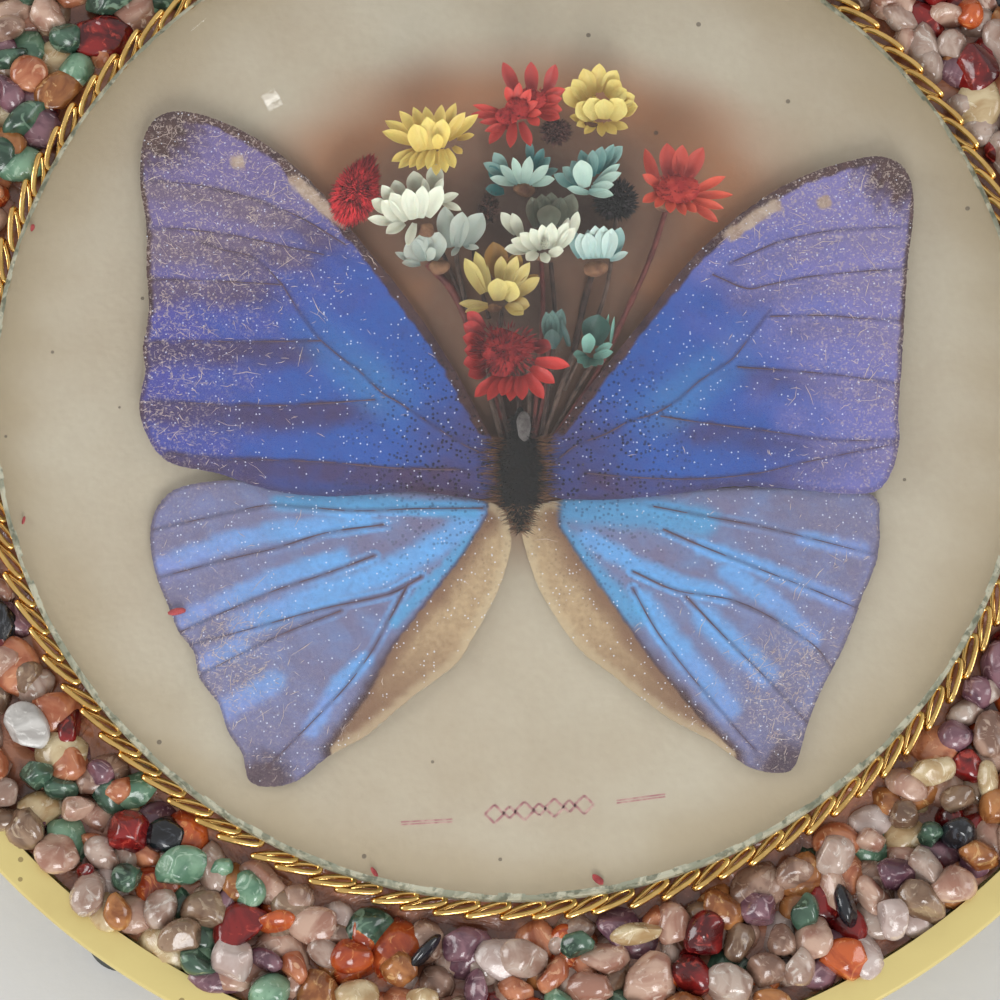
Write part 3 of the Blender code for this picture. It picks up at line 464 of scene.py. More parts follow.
def lathe(profile, middle=Vector((0.0, 0.0, 0.0)), steps=LATHE_STEPS):
    """Turn a closed profile of (radius, height) about the upright axis through middle."""
    verts = []
    for radius, height in profile:
        for i in range(steps):
            angle = 2.0 * math.pi * i / steps
            verts.append((middle.x + max(radius, 1e-5) * math.cos(angle),
                          middle.y + max(radius, 1e-5) * math.sin(angle), height))
    closed = profile[0][0] > 0.0
    faces = grid_faces(len(profile), steps, wrap_rows=closed, wrap_columns=True)
    if not closed:
        faces.append(tuple(range(steps)))
        faces.append(tuple(range((len(profile) - 1) * steps, len(profile) * steps)))
    return verts, faces


def tube(path, radii, sides, closed=False, flat=1.0):
    """A round tube along a path; flat below 1 presses it down."""
    count = len(path)
    verts = []
    side = None
    for i, point in enumerate(path):
        before = path[i - 1] if closed or i else path[0]
        after = path[(i + 1) % count] if closed else path[min(i + 1, count - 1)]
        along = (after - before).normalized()
        if side is None:
            side = along.cross(Vector((0.0, 0.0, 1.0)))
            if side.length < 0.1:
                side = along.cross(Vector((0.0, 1.0, 0.0)))
        side = (side - side.dot(along) * along).normalized()
        over = side.cross(along)
        radius = radii[i] if hasattr(radii, "__len__") else radii
        for k in range(sides):
            angle = 2.0 * math.pi * k / sides
            verts.append(point + radius * (math.cos(angle) * side + flat * math.sin(angle) * over))
    faces = grid_faces(count, sides, wrap_rows=closed, wrap_columns=True)
    if not closed:
        faces.append(tuple(range(sides)))
        faces.append(tuple(range((count - 1) * sides, count * sides)))
    return verts, faces


def smooth_path(points, steps):
    """Points along an open Catmull-Rom curve."""
    points = [Vector(p) for p in points]
    padded = [2 * points[0] - points[1]] + points + [2 * points[-1] - points[-2]]
    path = []
    for a, b, c, d in zip(padded, padded[1:], padded[2:], padded[3:]):
        for step in range(steps):
            t = step / steps
            path.append(0.5 * (2.0 * b + (c - a) * t + (2.0 * a - 5.0 * b + 4.0 * c - d) * t * t
                               + (3.0 * b - 3.0 * c + d - a) * t ** 3))
    path.append(points[-1])
    return path


def distance_to(path, x, y):
    """Distance of each point from a polyline, in the polyline's units."""
    best = np.full(x.shape, 1e9)
    for (ax, ay), (bx, by) in zip(path, path[1:]):
        dx, dy = bx - ax, by - ay
        along = np.clip(((x - ax) * dx + (y - ay) * dy) / (dx * dx + dy * dy), 0.0, 1.0)
        best = np.minimum(best, np.hypot(x - ax - along * dx, y - ay - along * dy))
    return best


def ripple(x, y, scale, seed):
    """Smooth unevenness from -1 to 1 made of a few crossed waves."""
    rng = random.Random(seed)
    total = np.zeros_like(x)
    for k in range(6):
        turn = rng.uniform(0.0, 2.0 * math.pi)
        wave = 2.0 * math.pi / (scale * rng.uniform(0.5, 1.6))
        total = total + np.sin(wave * (x * math.cos(turn) + y * math.sin(turn)) + rng.uniform(0.0, 6.3))
    return total / 3.5


def node(tree, kind, inputs=None, **settings):
    """Add a shader node; an input is a plain value or a socket to link."""
    made = tree.nodes.new(kind)
    for name, value in settings.items():
        setattr(made, name, value)
    for key, value in (inputs or {}).items():
        if isinstance(value, bpy.types.NodeSocket):
            tree.links.new(value, made.inputs[key])
        else:
            made.inputs[key].default_value = value
    return made


def mix(tree, share, first, second):
    return node(tree, "ShaderNodeMix", {0: share, 6: first, 7: second}, data_type="RGBA").outputs[2]


def maths(tree, operation, first, second=0.5):
    return node(tree, "ShaderNodeMath", {0: first, 1: second}, operation=operation,
                use_clamp=operation != "SUBTRACT").outputs[0]


def mask(tree, name):
    return node(tree, "ShaderNodeAttribute", attribute_name=name).outputs["Fac"]


def new_group(name, inputs, outputs):
    """A shader node group with its named sockets, and its two end nodes."""
    tree = bpy.data.node_groups.new(name, "ShaderNodeTree")
    for label, kind, default in inputs:
        tree.interface.new_socket(label, in_out="INPUT", socket_type=kind).default_value = default
    for label, kind in outputs:
        tree.interface.new_socket(label, in_out="OUTPUT", socket_type=kind)
    return tree, node(tree, "NodeGroupInput"), node(tree, "NodeGroupOutput")


def grain_group():
    """Uneven cloudiness: a share from 0 to 1 at a chosen scale and contrast."""
    name = "Cloudiness"
    if name in bpy.data.node_groups:
        return bpy.data.node_groups[name]
    tree, source, end = new_group(
        name, (("Scale", "NodeSocketFloat", 200.0), ("Low", "NodeSocketFloat", 0.35),
               ("High", "NodeSocketFloat", 0.65), ("Stretch", "NodeSocketFloat", 0.0)),
        (("Share", "NodeSocketFloat"),))
    place = node(tree, "ShaderNodeTexCoord").outputs["Object"]
    cloud = node(tree, "ShaderNodeTexNoise", {"Vector": place, "Scale": source.outputs["Scale"],
                                              "Detail": 5.0, "Distortion": source.outputs["Stretch"]})
    level = node(tree, "ShaderNodeMapRange", {"Value": cloud.outputs[0], "From Min": source.outputs["Low"],
                                              "From Max": source.outputs["High"]})
    tree.links.new(level.outputs[0], end.inputs["Share"])
    return tree


def specks_group():
    """Scattered small specks: a mask from 0 to 1."""
    name = "Specks"
    if name in bpy.data.node_groups:
        return bpy.data.node_groups[name]
    tree, source, end = new_group(
        name, (("Scale", "NodeSocketFloat", 1500.0), ("Share", "NodeSocketFloat", 0.1),
               ("Size", "NodeSocketFloat", 0.3)), (("Mask", "NodeSocketFloat"),))
    place = node(tree, "ShaderNodeTexCoord").outputs["Object"]
    cells = node(tree, "ShaderNodeTexVoronoi", {"Vector": place, "Scale": source.outputs["Scale"]})
    near = maths(tree, "LESS_THAN", cells.outputs["Distance"], source.outputs["Size"])
    parts = node(tree, "ShaderNodeSeparateColor", {0: cells.outputs["Color"]})
    picked = maths(tree, "LESS_THAN", parts.outputs[0], source.outputs["Share"])
    tree.links.new(maths(tree, "MULTIPLY", near, picked), end.inputs["Mask"])
    return tree


def use_group(tree, group, values):
    """Place a node group with its own values and give its output."""
    return node(tree, "ShaderNodeGroup", values, node_tree=group).outputs[0]


def cloudiness(tree, scale, low=0.35, high=0.65, stretch=0.0):
    return use_group(tree, grain_group(), {"Scale": scale, "Low": low, "High": high, "Stretch": stretch})


def specks(tree, scale, share, size=0.3):
    return use_group(tree, specks_group(), {"Scale": scale, "Share": share, "Size": size})


def new_material(name, roughness=0.5, metallic=0.0, transmission=0.0, ior=1.45, coat=0.0):
    """A material with its Principled shader's plain values set."""
    material = bpy.data.materials.new(name)
    material.use_nodes = True
    tree = material.node_tree
    shader = tree.nodes["Principled BSDF"]
    shader.inputs["Roughness"].default_value = roughness
    shader.inputs["Metallic"].default_value = metallic
    shader.inputs["Transmission Weight"].default_value = transmission
    shader.inputs["IOR"].default_value = ior
    shader.inputs["Coat Weight"].default_value = coat
    return material, tree, shader


def relief(tree, shader, height, depth):
    """Bump from a height share, depth in metres."""
    bump = node(tree, "ShaderNodeBump", {"Height": height, "Distance": depth, "Strength": 1.0})
    tree.links.new(bump.outputs[0], shader.inputs["Normal"])


def colour(tree, shader, socket):
    tree.links.new(socket, shader.inputs["Base Color"])


def rough(tree, shader, share, low, high):
    level = node(tree, "ShaderNodeMapRange", {"Value": share, "To Min": low, "To Max": high})
    tree.links.new(level.outputs[0], shader.inputs["Roughness"])


def gold_sheet_material(tint):
    """Satin gold-coloured sheet with faint brown smudges."""
    material, tree, shader = new_material("gold_sheet", metallic=0.5)
    smudge = cloudiness(tree, 60.0, 0.52, 0.78)
    fine = cloudiness(tree, 900.0, 0.3, 0.7)
    base = mix(tree, maths(tree, "MULTIPLY", smudge, 0.35), tint, linear((170, 140, 88)))
    dots = specks(tree, 700.0, 0.04, 0.22)
    colour(tree, shader, mix(tree, maths(tree, "MULTIPLY", dots, 0.6), base, linear((110, 86, 60))))
    rough(tree, shader, smudge, 0.34, 0.5)
    relief(tree, shader, fine, 0.01 * MM)
    return material


def foot_material():
    material, tree, shader = new_material("foot_rubber")
    cloud = cloudiness(tree, 500.0)
    colour(tree, shader, mix(tree, cloud, linear((24, 30, 28)), linear((44, 52, 48))))
    rough(tree, shader, cloud, 0.5, 0.75)
    relief(tree, shader, cloud, 0.05 * MM)
    return material


def resin_material():
    """Brown casting resin, glossy, reddish where it is thin."""
    material, tree, shader = new_material("casting_resin", ior=1.52, coat=0.6)
    cloud = cloudiness(tree, 160.0, 0.4, 0.62, 0.6)
    grit = cloudiness(tree, 900.0, 0.45, 0.6)
    base = mix(tree, cloud, linear((104, 60, 44)), linear((172, 114, 84)))
    colour(tree, shader, mix(tree, maths(tree, "MULTIPLY", grit, 0.4), base, linear((126, 76, 56))))
    rough(tree, shader, grit, 0.12, 0.3)
    relief(tree, shader, cloud, 0.4 * MM)
    return material


def stone_material(kind):
    """Tumbled stone of one kind: cloudy colour, fine cracks and pits, wet polish."""
    main, dark, pale, clear, gloss, _ = STONE_LOOKS[kind]
    material, tree, shader = new_material("stone_" + kind, transmission=clear, ior=1.5, coat=0.3)
    cloud = cloudiness(tree, 240.0, 0.4, 0.6, 1.2)
    veins = cloudiness(tree, 420.0, 0.56, 0.68, 2.5)
    pits = specks(tree, 1400.0, 0.12, 0.3)
    base = mix(tree, cloud, linear(dark), linear(main))
    base = mix(tree, maths(tree, "MULTIPLY", veins, 0.75), base, linear(pale))
    colour(tree, shader, mix(tree, maths(tree, "MULTIPLY", pits, 0.5), base, linear(dark)))
    rough(tree, shader, veins, gloss, gloss + 0.22)
    relief(tree, shader, cloudiness(tree, 700.0, 0.2, 0.8), 0.06 * MM)
    return material


def card_material():
    """Aged card: cream, darker towards the rim and stained brown round the flowers."""
    material, tree, shader = new_material("aged_card", roughness=0.85)
    cloud = cloudiness(tree, 45.0, 0.35, 0.7)
    fibre = cloudiness(tree, 1300.0, 0.3, 0.7)
    fleck = specks(tree, 420.0, 0.07, 0.11)
    base = mix(tree, cloud, linear((168, 153, 133)), linear((181, 170, 153)))
    # The card turns darker towards the rim.
    base = mix(tree, maths(tree, "MULTIPLY", mask(tree, "rim_tan"), 0.75), base, linear((152, 133, 104)))
    base = mix(tree, mask(tree, "outer_stain"), base, linear((148, 88, 48)))
    base = mix(tree, mask(tree, "inner_stain"), base, linear((112, 82, 68)))
    base = mix(tree, mask(tree, "core_stain"), base, linear((50, 38, 38)))
    base = mix(tree, maths(tree, "MULTIPLY", fibre, 0.12), base, linear((140, 124, 104)))
    colour(tree, shader, mix(tree, maths(tree, "MULTIPLY", fleck, 0.75), base, linear((78, 64, 54))))
    relief(tree, shader, fibre, 0.015 * MM)
    return material


def ink_material():
    material, tree, shader = new_material("faded_ink", roughness=0.8)
    worn = cloudiness(tree, 1500.0, 0.4, 0.6)
    colour(tree, shader, mix(tree, worn, linear((156, 106, 108)), linear((180, 146, 138))))
    return material


def clear_glass_material():
    """Clear glass that lets plain light through to what lies under it."""
    material, tree, shader = new_material("clear_glass", roughness=0.0, transmission=1.0, ior=1.4)
    haze = cloudiness(tree, 30.0, 0.3, 0.8)
    colour(tree, shader, mix(tree, haze, (0.985, 0.995, 0.99, 1.0), (0.96, 0.975, 0.965, 1.0)))
    rough(tree, shader, specks(tree, 260.0, 0.05, 0.12), 0.015, 0.2)
    return let_light_through(material, tree, shader)


def ground_edge_material():
    """Ground, chipped and grimy rim of the glass."""
    material, tree, shader = new_material("ground_edge", transmission=0.3, ior=1.4)
    chips = cloudiness(tree, 420.0, 0.46, 0.56, 1.0)
    grime = cloudiness(tree, 900.0, 0.52, 0.6)
    base = mix(tree, chips, linear((188, 188, 168)), linear((144, 148, 130)))
    colour(tree, shader, mix(tree, maths(tree, "MULTIPLY", grime, 0.7), base, linear((84, 92, 76))))
    rough(tree, shader, chips, 0.25, 0.6)
    relief(tree, shader, chips, 0.12 * MM)
    return let_light_through(material, tree, shader)


def let_light_through(material, tree, shader):
    """Shadow rays pass, so that the specimens are lit through the glass."""
    passing = node(tree, "ShaderNodeBsdfTransparent", {"Color": (0.93, 0.95, 0.94, 1.0)})
    choice = node(tree, "ShaderNodeMixShader", {0: node(tree, "ShaderNodeLightPath").outputs["Is Shadow Ray"],
                                                1: shader.outputs[0], 2: passing.outputs[0]})
    tree.links.new(choice.outputs[0], tree.nodes["Material Output"].inputs["Surface"])
    return material


def chain_material(tint):
    material, tree, shader = new_material("polished_gold", metallic=1.0)
    smudge = cloudiness(tree, 500.0, 0.45, 0.7)
    colour(tree, shader, mix(tree, maths(tree, "MULTIPLY", smudge, 0.5), tint, linear((164, 118, 62))))
    rough(tree, shader, smudge, 0.14, 0.3)
    relief(tree, shader, cloudiness(tree, 2200.0), 0.01 * MM)
    return material


def wing_material(colours):
    """Blue scales between dark veins, with painted shade in dull mauve bands where the waved wing turns from the light;
    brown edges, pale spots and rubbed flecks.
    """
    material, tree, shader = new_material("wing_scales", roughness=0.6, metallic=0.1)
    shader.inputs["Specular IOR Level"].default_value = 0.25
    cloud = cloudiness(tree, 420.0, 0.3, 0.7, 0.5)
    streak = cloudiness(tree, 1600.0, 0.35, 0.65)
    hind = mask(tree, "hind")
    # Forewings: painted shade, their blue drawn dull mauve where the waved wing turns from the light. Hindwings: their
    # own dull grey-mauve.
    dull_and_shaded = mix(tree, hind, colours.shaded_mauve, linear((116, 110, 138)))
    blue = mix(tree, mask(tree, "outward"), colours.azure, colours.violet)
    hind_blue = mix(tree, mask(tree, "outward"), linear((104, 162, 220)), linear((130, 140, 198)))
    blue = mix(tree, hind, blue, hind_blue)
    band = maths(tree, "ADD", mask(tree, "band"), maths(tree, "SUBTRACT", cloud, 0.5))
    band = mix_values(tree, 0.3, mask(tree, "band"), band)
    base = mix(tree, band, dull_and_shaded, blue)
    base = mix(tree, mask(tree, "turquoise"), base, linear((84, 152, 200)))
    base = mix(tree, maths(tree, "MULTIPLY", streak, 0.15), base, linear((78, 68, 124)))
    base = mix(tree, mask(tree, "dusty"), base, linear((152, 130, 142)))
    base = mix(tree, mask(tree, "sheen"), base, linear((150, 144, 200)))
    base = mix(tree, mask(tree, "shade"), base, linear((54, 40, 60)))
    brown = mix(tree, cloud, linear((52, 30, 25)), linear((84, 56, 44)))
    base = mix(tree, mask(tree, "brown"), base, brown)
    fold = mix(tree, mask(tree, "fold_brown"), linear((178, 152, 120)), linear((128, 96, 76)))
    fold = mix(tree, maths(tree, "MULTIPLY", streak, 0.35), fold, linear((120, 92, 70)))
    base = mix(tree, mask(tree, "fold"), base, fold)
    base = mix(tree, mask(tree, "fold_edge"), base, linear((190, 170, 140)))
    base = mix(tree, mask(tree, "pale"), base, mix(tree, cloud, linear((196, 176, 158)), linear((150, 122, 104))))
    rubbed = maths(tree, "MULTIPLY", specks(tree, 2300.0, 0.45, 0.3), mask(tree, "rubbed"))
    base = mix(tree, maths(tree, "MULTIPLY", rubbed, 0.65), base, linear((184, 166, 160)))
    flaked = maths(tree, "MULTIPLY", cloudiness(tree, 2400.0, 0.56, 0.61, 1.5), mask(tree, "rubbed"))
    base = mix(tree, maths(tree, "MULTIPLY", flaked, 0.5), base, linear((196, 178, 168)))
    glints = maths(tree, "MULTIPLY", specks(tree, 2800.0, 0.16, 0.24), 0.75)
    base = mix(tree, glints, base, linear((214, 218, 234)))
    dark = maths(tree, "MULTIPLY", specks(tree, 2100.0, 0.6, 0.34), mask(tree, "peppered"))
    colour(tree, shader, mix(tree, maths(tree, "MULTIPLY", dark, 0.85), base, linear((24, 20, 30))))
    relief(tree, shader, streak, 0.02 * MM)
    return material


def mix_values(tree, share, first, second):
    return node(tree, "ShaderNodeMix", {0: share, 2: first, 3: second}, data_type="FLOAT").outputs[0]


def plain_material(name, first, second, scale=900.0, roughness=0.6, depth=0.02 * MM):
    """Two close colours mixed by cloudiness, with a little relief."""
    material, tree, shader = new_material(name)
    cloud = cloudiness(tree, scale)
    colour(tree, shader, mix(tree, cloud, linear(first), linear(second)))
    rough(tree, shader, cloud, roughness, min(roughness + 0.2, 1.0))
    relief(tree, shader, cloud, depth)
    return material


def petal_material(name, outer, inner):
    """Dry petal: paler towards the tip, deeper at its base and middle line; the deeper colour is partly its own and
    partly painted shade.
    """
    material, tree, shader = new_material(name, roughness=0.55, coat=0.05)
    cloud = cloudiness(tree, 900.0, 0.3, 0.7)
    base = mix(tree, mask(tree, "deep"), linear(outer), linear(inner))
    base = mix(tree, maths(tree, "MULTIPLY", cloud, 0.18), base, linear(inner))
    colour(tree, shader, base)
    relief(tree, shader, cloudiness(tree, 2200.0), 0.02 * MM)
    shader.inputs["Subsurface Weight"].default_value = 0.12
    shader.inputs["Subsurface Scale"].default_value = 0.4 * MM
    return material


def build_tray(sizes, colours):
    """Pressed tray with a rolled flange, smooth all round."""
    wall = TRAY_RADIUS - FLANGE + SHEET
    low = TRAY_LOW.z
    top = TRAY_HIGH.z
    profile = [(0.0, low), (wall - SHEET, low), (wall - 0.3 * SHEET, low + 0.3 * SHEET), (wall, low + SHEET),
               (wall, top - SHEET), (TRAY_RADIUS - EDGE_ROLL, top - SHEET), (TRAY_RADIUS, top - SHEET + EDGE_ROLL)]
    for step in range(5):
        angle = 0.5 * math.pi * step / 4
        profile.append((TRAY_RADIUS - EDGE_ROLL + EDGE_ROLL * math.cos(angle),
                        top - EDGE_ROLL + EDGE_ROLL * math.sin(angle)))
    profile += [(wall - SHEET, top), (wall - SHEET, low + SHEET), (0.0, low + SHEET)]
    shape = Shape()
    shape.add(*lathe(profile))
    shape.piece("tray_sheet", [gold_sheet_material(colours.gold)], "gold_rim", ["tray"], sharp=30.0)


def build_feet():
    """Four dark feet with a small rounding at the foot and a ring groove."""
    material = foot_material()
    for k in range(1, 5):
        low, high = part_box("foot_%d" % k)
        radius = (high.x - low.x) / 2
        soft = 0.12 * radius
        profile = [(0.0, low.z), (radius - soft, low.z), (radius - 0.3 * soft, low.z + 0.3 * soft),
                   (radius, low.z + soft), (radius, high.z - 3 * soft), (radius - soft, high.z - 2.6 * soft),
                   (radius - soft, high.z), (0.0, high.z)]
        shape = Shape()
        shape.add(*lathe(profile, (low + high) / 2, 48))
        shape.piece("foot_pad_%d" % k, [material], "foot", ["foot_%d" % k], sharp=50.0)


def build_resin():
    """Resin surface: even in the middle, dimpled between the stones."""
    shape = Shape()
    steps, rows = 360, 34
    inner = 58.3 * MM
    outer = (BED_HIGH.x - BED_LOW.x) / 2
    turns = 2.0 * np.pi * np.arange(steps) / steps
    verts = [(0.0, 0.0, 18.0 * MM)]
    for row in range(rows):
        share = row / (rows - 1)
        radius = inner + (outer - inner) * share
        x, y = radius * np.cos(turns), radius * np.sin(turns)
        wave = ripple(x / MM, y / MM, 5.0, 3) * 0.45 * min(share * 6.0, 1.0)
        level = 17.7 - 0.8 * share + wave if row else np.full(steps, 18.0)
        verts.extend(zip(x, y, level * MM))
    faces = [(0, 1 + i, 1 + (i + 1) % steps) for i in range(steps)]
    faces += [tuple(1 + i for i in face) for face in grid_faces(rows, steps, wrap_columns=True)]
    last = 1 + (rows - 1) * steps
    verts.extend((outer * math.cos(t), outer * math.sin(t), BED_LOW.z) for t in turns)
    faces += [(last + i, last + (i + 1) % steps, last + steps + (i + 1) % steps, last + steps + i)
              for i in range(steps)]
    faces.append(tuple(last + steps + i for i in range(steps)))
    shape.add(verts, faces)
    shape.piece("cast_resin", [resin_material()], "resin", ["resin_bed"])


def pebble(rng, level=2):
    """Unit-sized tumbled chip: a ball with a few flats worn on it."""
    ball = bmesh.new()
    bmesh.ops.create_icosphere(ball, subdivisions=level, radius=1.0)
    places = np.array([v.co for v in ball.verts])
    faces = [tuple(v.index for v in f.verts) for f in ball.faces]
    ball.free()
    for _ in range(rng.randint(5, 9)):
        turn = rng.uniform(0.0, 2.0 * math.pi)
        lift = rng.uniform(-0.9, 0.9)
        across = math.sqrt(1.0 - lift * lift)
        facing = np.array([across * math.cos(turn), across * math.sin(turn), lift])
        beyond = places @ facing - rng.uniform(0.62, 0.86)
        places -= np.outer(np.where(beyond > 0.0, beyond * 0.9, 0.0), facing)
    waves = np.array([[rng.uniform(-2.5, 2.5) for _ in range(3)] for _ in range(3)])
    swell = sum(np.sin(places @ wave + rng.uniform(0.0, 6.0)) for wave in waves)
    return places * (1.0 + 0.05 * swell[:, None]), faces


def lay_stone(places, place, halves, turn, lean, tilt):
    """Scale, lean, turn and move a unit chip."""
    matrix = (Matrix.Translation(place) @ Matrix.Rotation(turn, 4, "Z") @ Matrix.Rotation(lean, 4, "X")
              @ Matrix.Rotation(tilt, 4, "Y") @ Matrix.Diagonal((*halves, 1.0)))
    grid = np.array(matrix)
    return places @ grid[:3, :3].T + grid[:3, 3]


def from_glass(x, y):
    """Distance in millimetres of a place on the tray from the middle of the glass."""
    return math.hypot(x - GLASS_MIDDLE.x / MM, y - GLASS_MIDDLE.y / MM)


def chip_layers(sizes):
    """Every small chip: kind, x, y, half length, half width, half height, level, turn."""
    rng = random.Random(21)
    chips = [(kind, x, y, a, b, 1.9, 18.5, math.radians(turn)) for kind, x, y, a, b, turn in SMALL_STONES]
    taken = [(x, y, min(a, b)) for _, x, y, a, b, *_ in chips]
    for name in SOLID_STONES:
        low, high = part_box(name)
        middle = (low + high) / 2 / MM
        taken.append((middle.x, middle.y, min(high.x - low.x, high.y - low.y) / 2 / MM))
    chain_rim = (CHAIN_HIGH.x - CHAIN_LOW.x) / 2 / MM
    for level, count, apart, nearest, farthest in ((17.0, sizes.buried_chips, 0.56, chain_rim, 90.0),
                                                   (17.9, sizes.chain_chips, 0.6, chain_rim - 1.5, 61.5),
                                                   (18.4, sizes.upper_chips, 0.78, chain_rim - 0.4, 90.0)):
        laid = list(taken) if level > 18.0 else []
        tries = 0
        made = 0
        while made < count and tries < 30 * count:
            tries += 1
            turn = rng.uniform(0.0, 2.0 * math.pi)
            reach = math.sqrt(rng.uniform(57.0 ** 2, 71.6 ** 2))
            x, y = reach * math.cos(turn), reach * math.sin(turn)
            a = rng.uniform(2.1, 3.8)
            b = a * rng.uniform(0.62, 0.95)
            away = from_glass(x, y)
            if away - 0.8 * b < nearest or away > farthest or reach + 0.7 * b > 73.2:
                continue
            if any(math.hypot(x - p, y - q) < apart * (b + r) for p, q, r in laid):
                continue
            laid.append((x, y, b))
            chips.append((rng.choice(CHIP_KINDS), x, y, a, b, rng.uniform(1.4, 2.0),
                          level + rng.uniform(-0.3, 0.3), rng.uniform(0.0, math.pi)))
            made += 1
    return chips


def build_chips(sizes):
    """Small chips, joined by the kind of stone."""
    rng = random.Random(5)
    shapes = {}
    for kind, x, y, a, b, c, level, turn in chip_layers(sizes):
        places, faces = pebble(rng, 3 if level > 18.0 else 2)
        lean, tilt = rng.uniform(-0.35, 0.35), rng.uniform(-0.35, 0.35)
        verts = lay_stone(places, (x * MM, y * MM, level * MM), (a * MM, b * MM, c * MM), turn, lean, tilt)
        shapes.setdefault(kind, Shape()).add(verts, faces)
    for kind, shape in shapes.items():
        shape.piece("chips_" + kind, [stone_material(kind)], STONE_LOOKS[kind][5], sharp=180.0)


def build_solid_stones():
    """The larger stones, each in the place and size of its own solid."""
    for index, (name, kind) in enumerate(SOLID_STONES.items()):
        rng = random.Random(100 + index)
        low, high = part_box(name)
        spots = np.array([v.co for v in frame["nodes"][name].data.vertices])
        flat = spots[:, :2] - spots[:, :2].mean(0)
        _, axes = np.linalg.eigh(flat.T @ flat)
        turn = math.atan2(axes[1, 1], axes[0, 1])
        long_way, wide_way = flat @ axes[:, 1], flat @ axes[:, 0]
        halves = (np.ptp(long_way) / 2 * 1.02, np.ptp(wide_way) / 2 * 1.02, (high.z - low.z) / 2)
        places, faces = pebble(rng, 4)
        verts = lay_stone(places, (low + high) / 2, halves, turn, rng.uniform(-0.12, 0.12), 0.0)
        shape = Shape()
        shape.add(verts, faces)
        shape.piece(name + "_polished", [stone_material(kind)], STONE_LOOKS[kind][5], [name], sharp=180.0)


def build_board():
    """Card disc with masks for its darker rim and the stain round the flowers."""
    steps, rows = 240, 120
    radius = (BOARD_HIGH.x - BOARD_LOW.x) / 2
    turns = 2.0 * np.pi * np.arange(steps) / steps
    reach = (np.arange(rows) + 0.5) / (rows - 0.5) * radius
    x = (reach[:, None] * np.cos(turns)).ravel() / MM
    y = (reach[:, None] * np.sin(turns)).ravel() / MM
    uneven = ripple(x, y, 14.0, 8)
    away = np.minimum(np.hypot((x - 1.5) / 21.5, (y - 20.5) / 12.8), np.hypot((x - 2.0) / 15.0, (y - 6.0) / 17.0))
    among = np.minimum(np.hypot((x - 3.5) / 10.5, (y - 20.5) / 7.0), np.hypot((x - 1.5) / 5.5, (y - 3.0) / 12.0))
    outer = ramp(-(away + 0.04 * uneven), -1.62, -0.98)
    inner = ramp(-(away + 0.03 * uneven), -1.02, -0.68)
    core = ramp(-(among + 0.08 * uneven), -1.2, -0.5)
    # The card is darker towards the rim.
    rim = ramp(np.hypot(x, y) + 1.4 * uneven, 46.0, 55.5)
    verts = np.column_stack((x * MM + GLASS_MIDDLE.x, y * MM + GLASS_MIDDLE.y, np.full(x.shape, BOARD_HIGH.z)))
    shape = Shape()
    faces = grid_faces(rows, steps, wrap_columns=True) + [tuple(range(steps))]
    edge = (rows - 1) * steps
    low = verts[edge:].copy()
    low[:, 2] = BOARD_LOW.z
    faces += [(edge + i, edge + (i + 1) % steps, edge + steps + (i + 1) % steps, edge + steps + i)
              for i in range(steps)]
    faces.append(tuple(edge + steps + i for i in range(steps)))
    shape.add(np.vstack((verts, low)), faces, rim_tan=rim, outer_stain=outer * 0.85, inner_stain=inner * 0.9,
              core_stain=core * 0.7)
    shape.piece("card_disc", [card_material()], "card", ["mount_board"])


def thin_bar(shape, start, end, half_width, level, rise):
    """A low printed bar from start to end."""
    start, end = on_card(*start, level), on_card(*end, level)
    along = (end - start).normalized()
    side = Vector((-along.y, along.x, 0.0)) * half_width
    up = Vector((0.0, 0.0, rise))
    corners = [start - side, end - side, end + side, start + side]
    shape.add(corners + [c + up for c in corners],
              [(0, 1, 2, 3), (4, 5, 6, 7), (0, 1, 5, 4), (1, 2, 6, 5), (2, 3, 7, 6), (3, 0, 4, 7)])


def build_print():
    """Faded print: two dashes with a row of small diamonds between them."""
    shape = Shape()
    level = BOARD_HIGH.z / MM
    rise = 0.02 * MM
    for start, end in DASHES:
        for lift in (-0.14, 0.14):
            thin_bar(shape, (start[0], start[1] + lift), (end[0], end[1] + lift), 0.09 * MM, level, rise)
    first, last = Vector(DIAMOND_ROW[0]), Vector(DIAMOND_ROW[1])
    for k in range(DIAMOND_COUNT):
        spot = first.lerp(last, k / (DIAMOND_COUNT - 1))
        half = 1.0 if k % 2 == 0 else 0.65
        for dx in (half, -half):
            thin_bar(shape, (spot.x, spot.y + half), (spot.x + dx, spot.y), 0.14 * MM, level, rise)
            thin_bar(shape, (spot.x, spot.y - half), (spot.x + dx, spot.y), 0.14 * MM, level, rise)
    shape.piece("faded_print", [ink_material()], "card")


def build_crumbs():
    """Red petal crumbs that lie on the card and on a wing."""
    shape = Shape()
    rng = random.Random(4)
    for x, y, a, b, turn, level in CRUMBS:
        places, faces = pebble(rng, 2)
        verts = lay_stone(places, on_card(x, y, level + 0.2), (a * MM, b * MM, 0.18 * MM),
                          math.radians(turn), 0.1, 0.0)
        shape.add(verts, faces)
    shape.piece("petal_crumbs", [plain_material("crumb_red", (172, 62, 62), (132, 34, 40))], "petal_red")


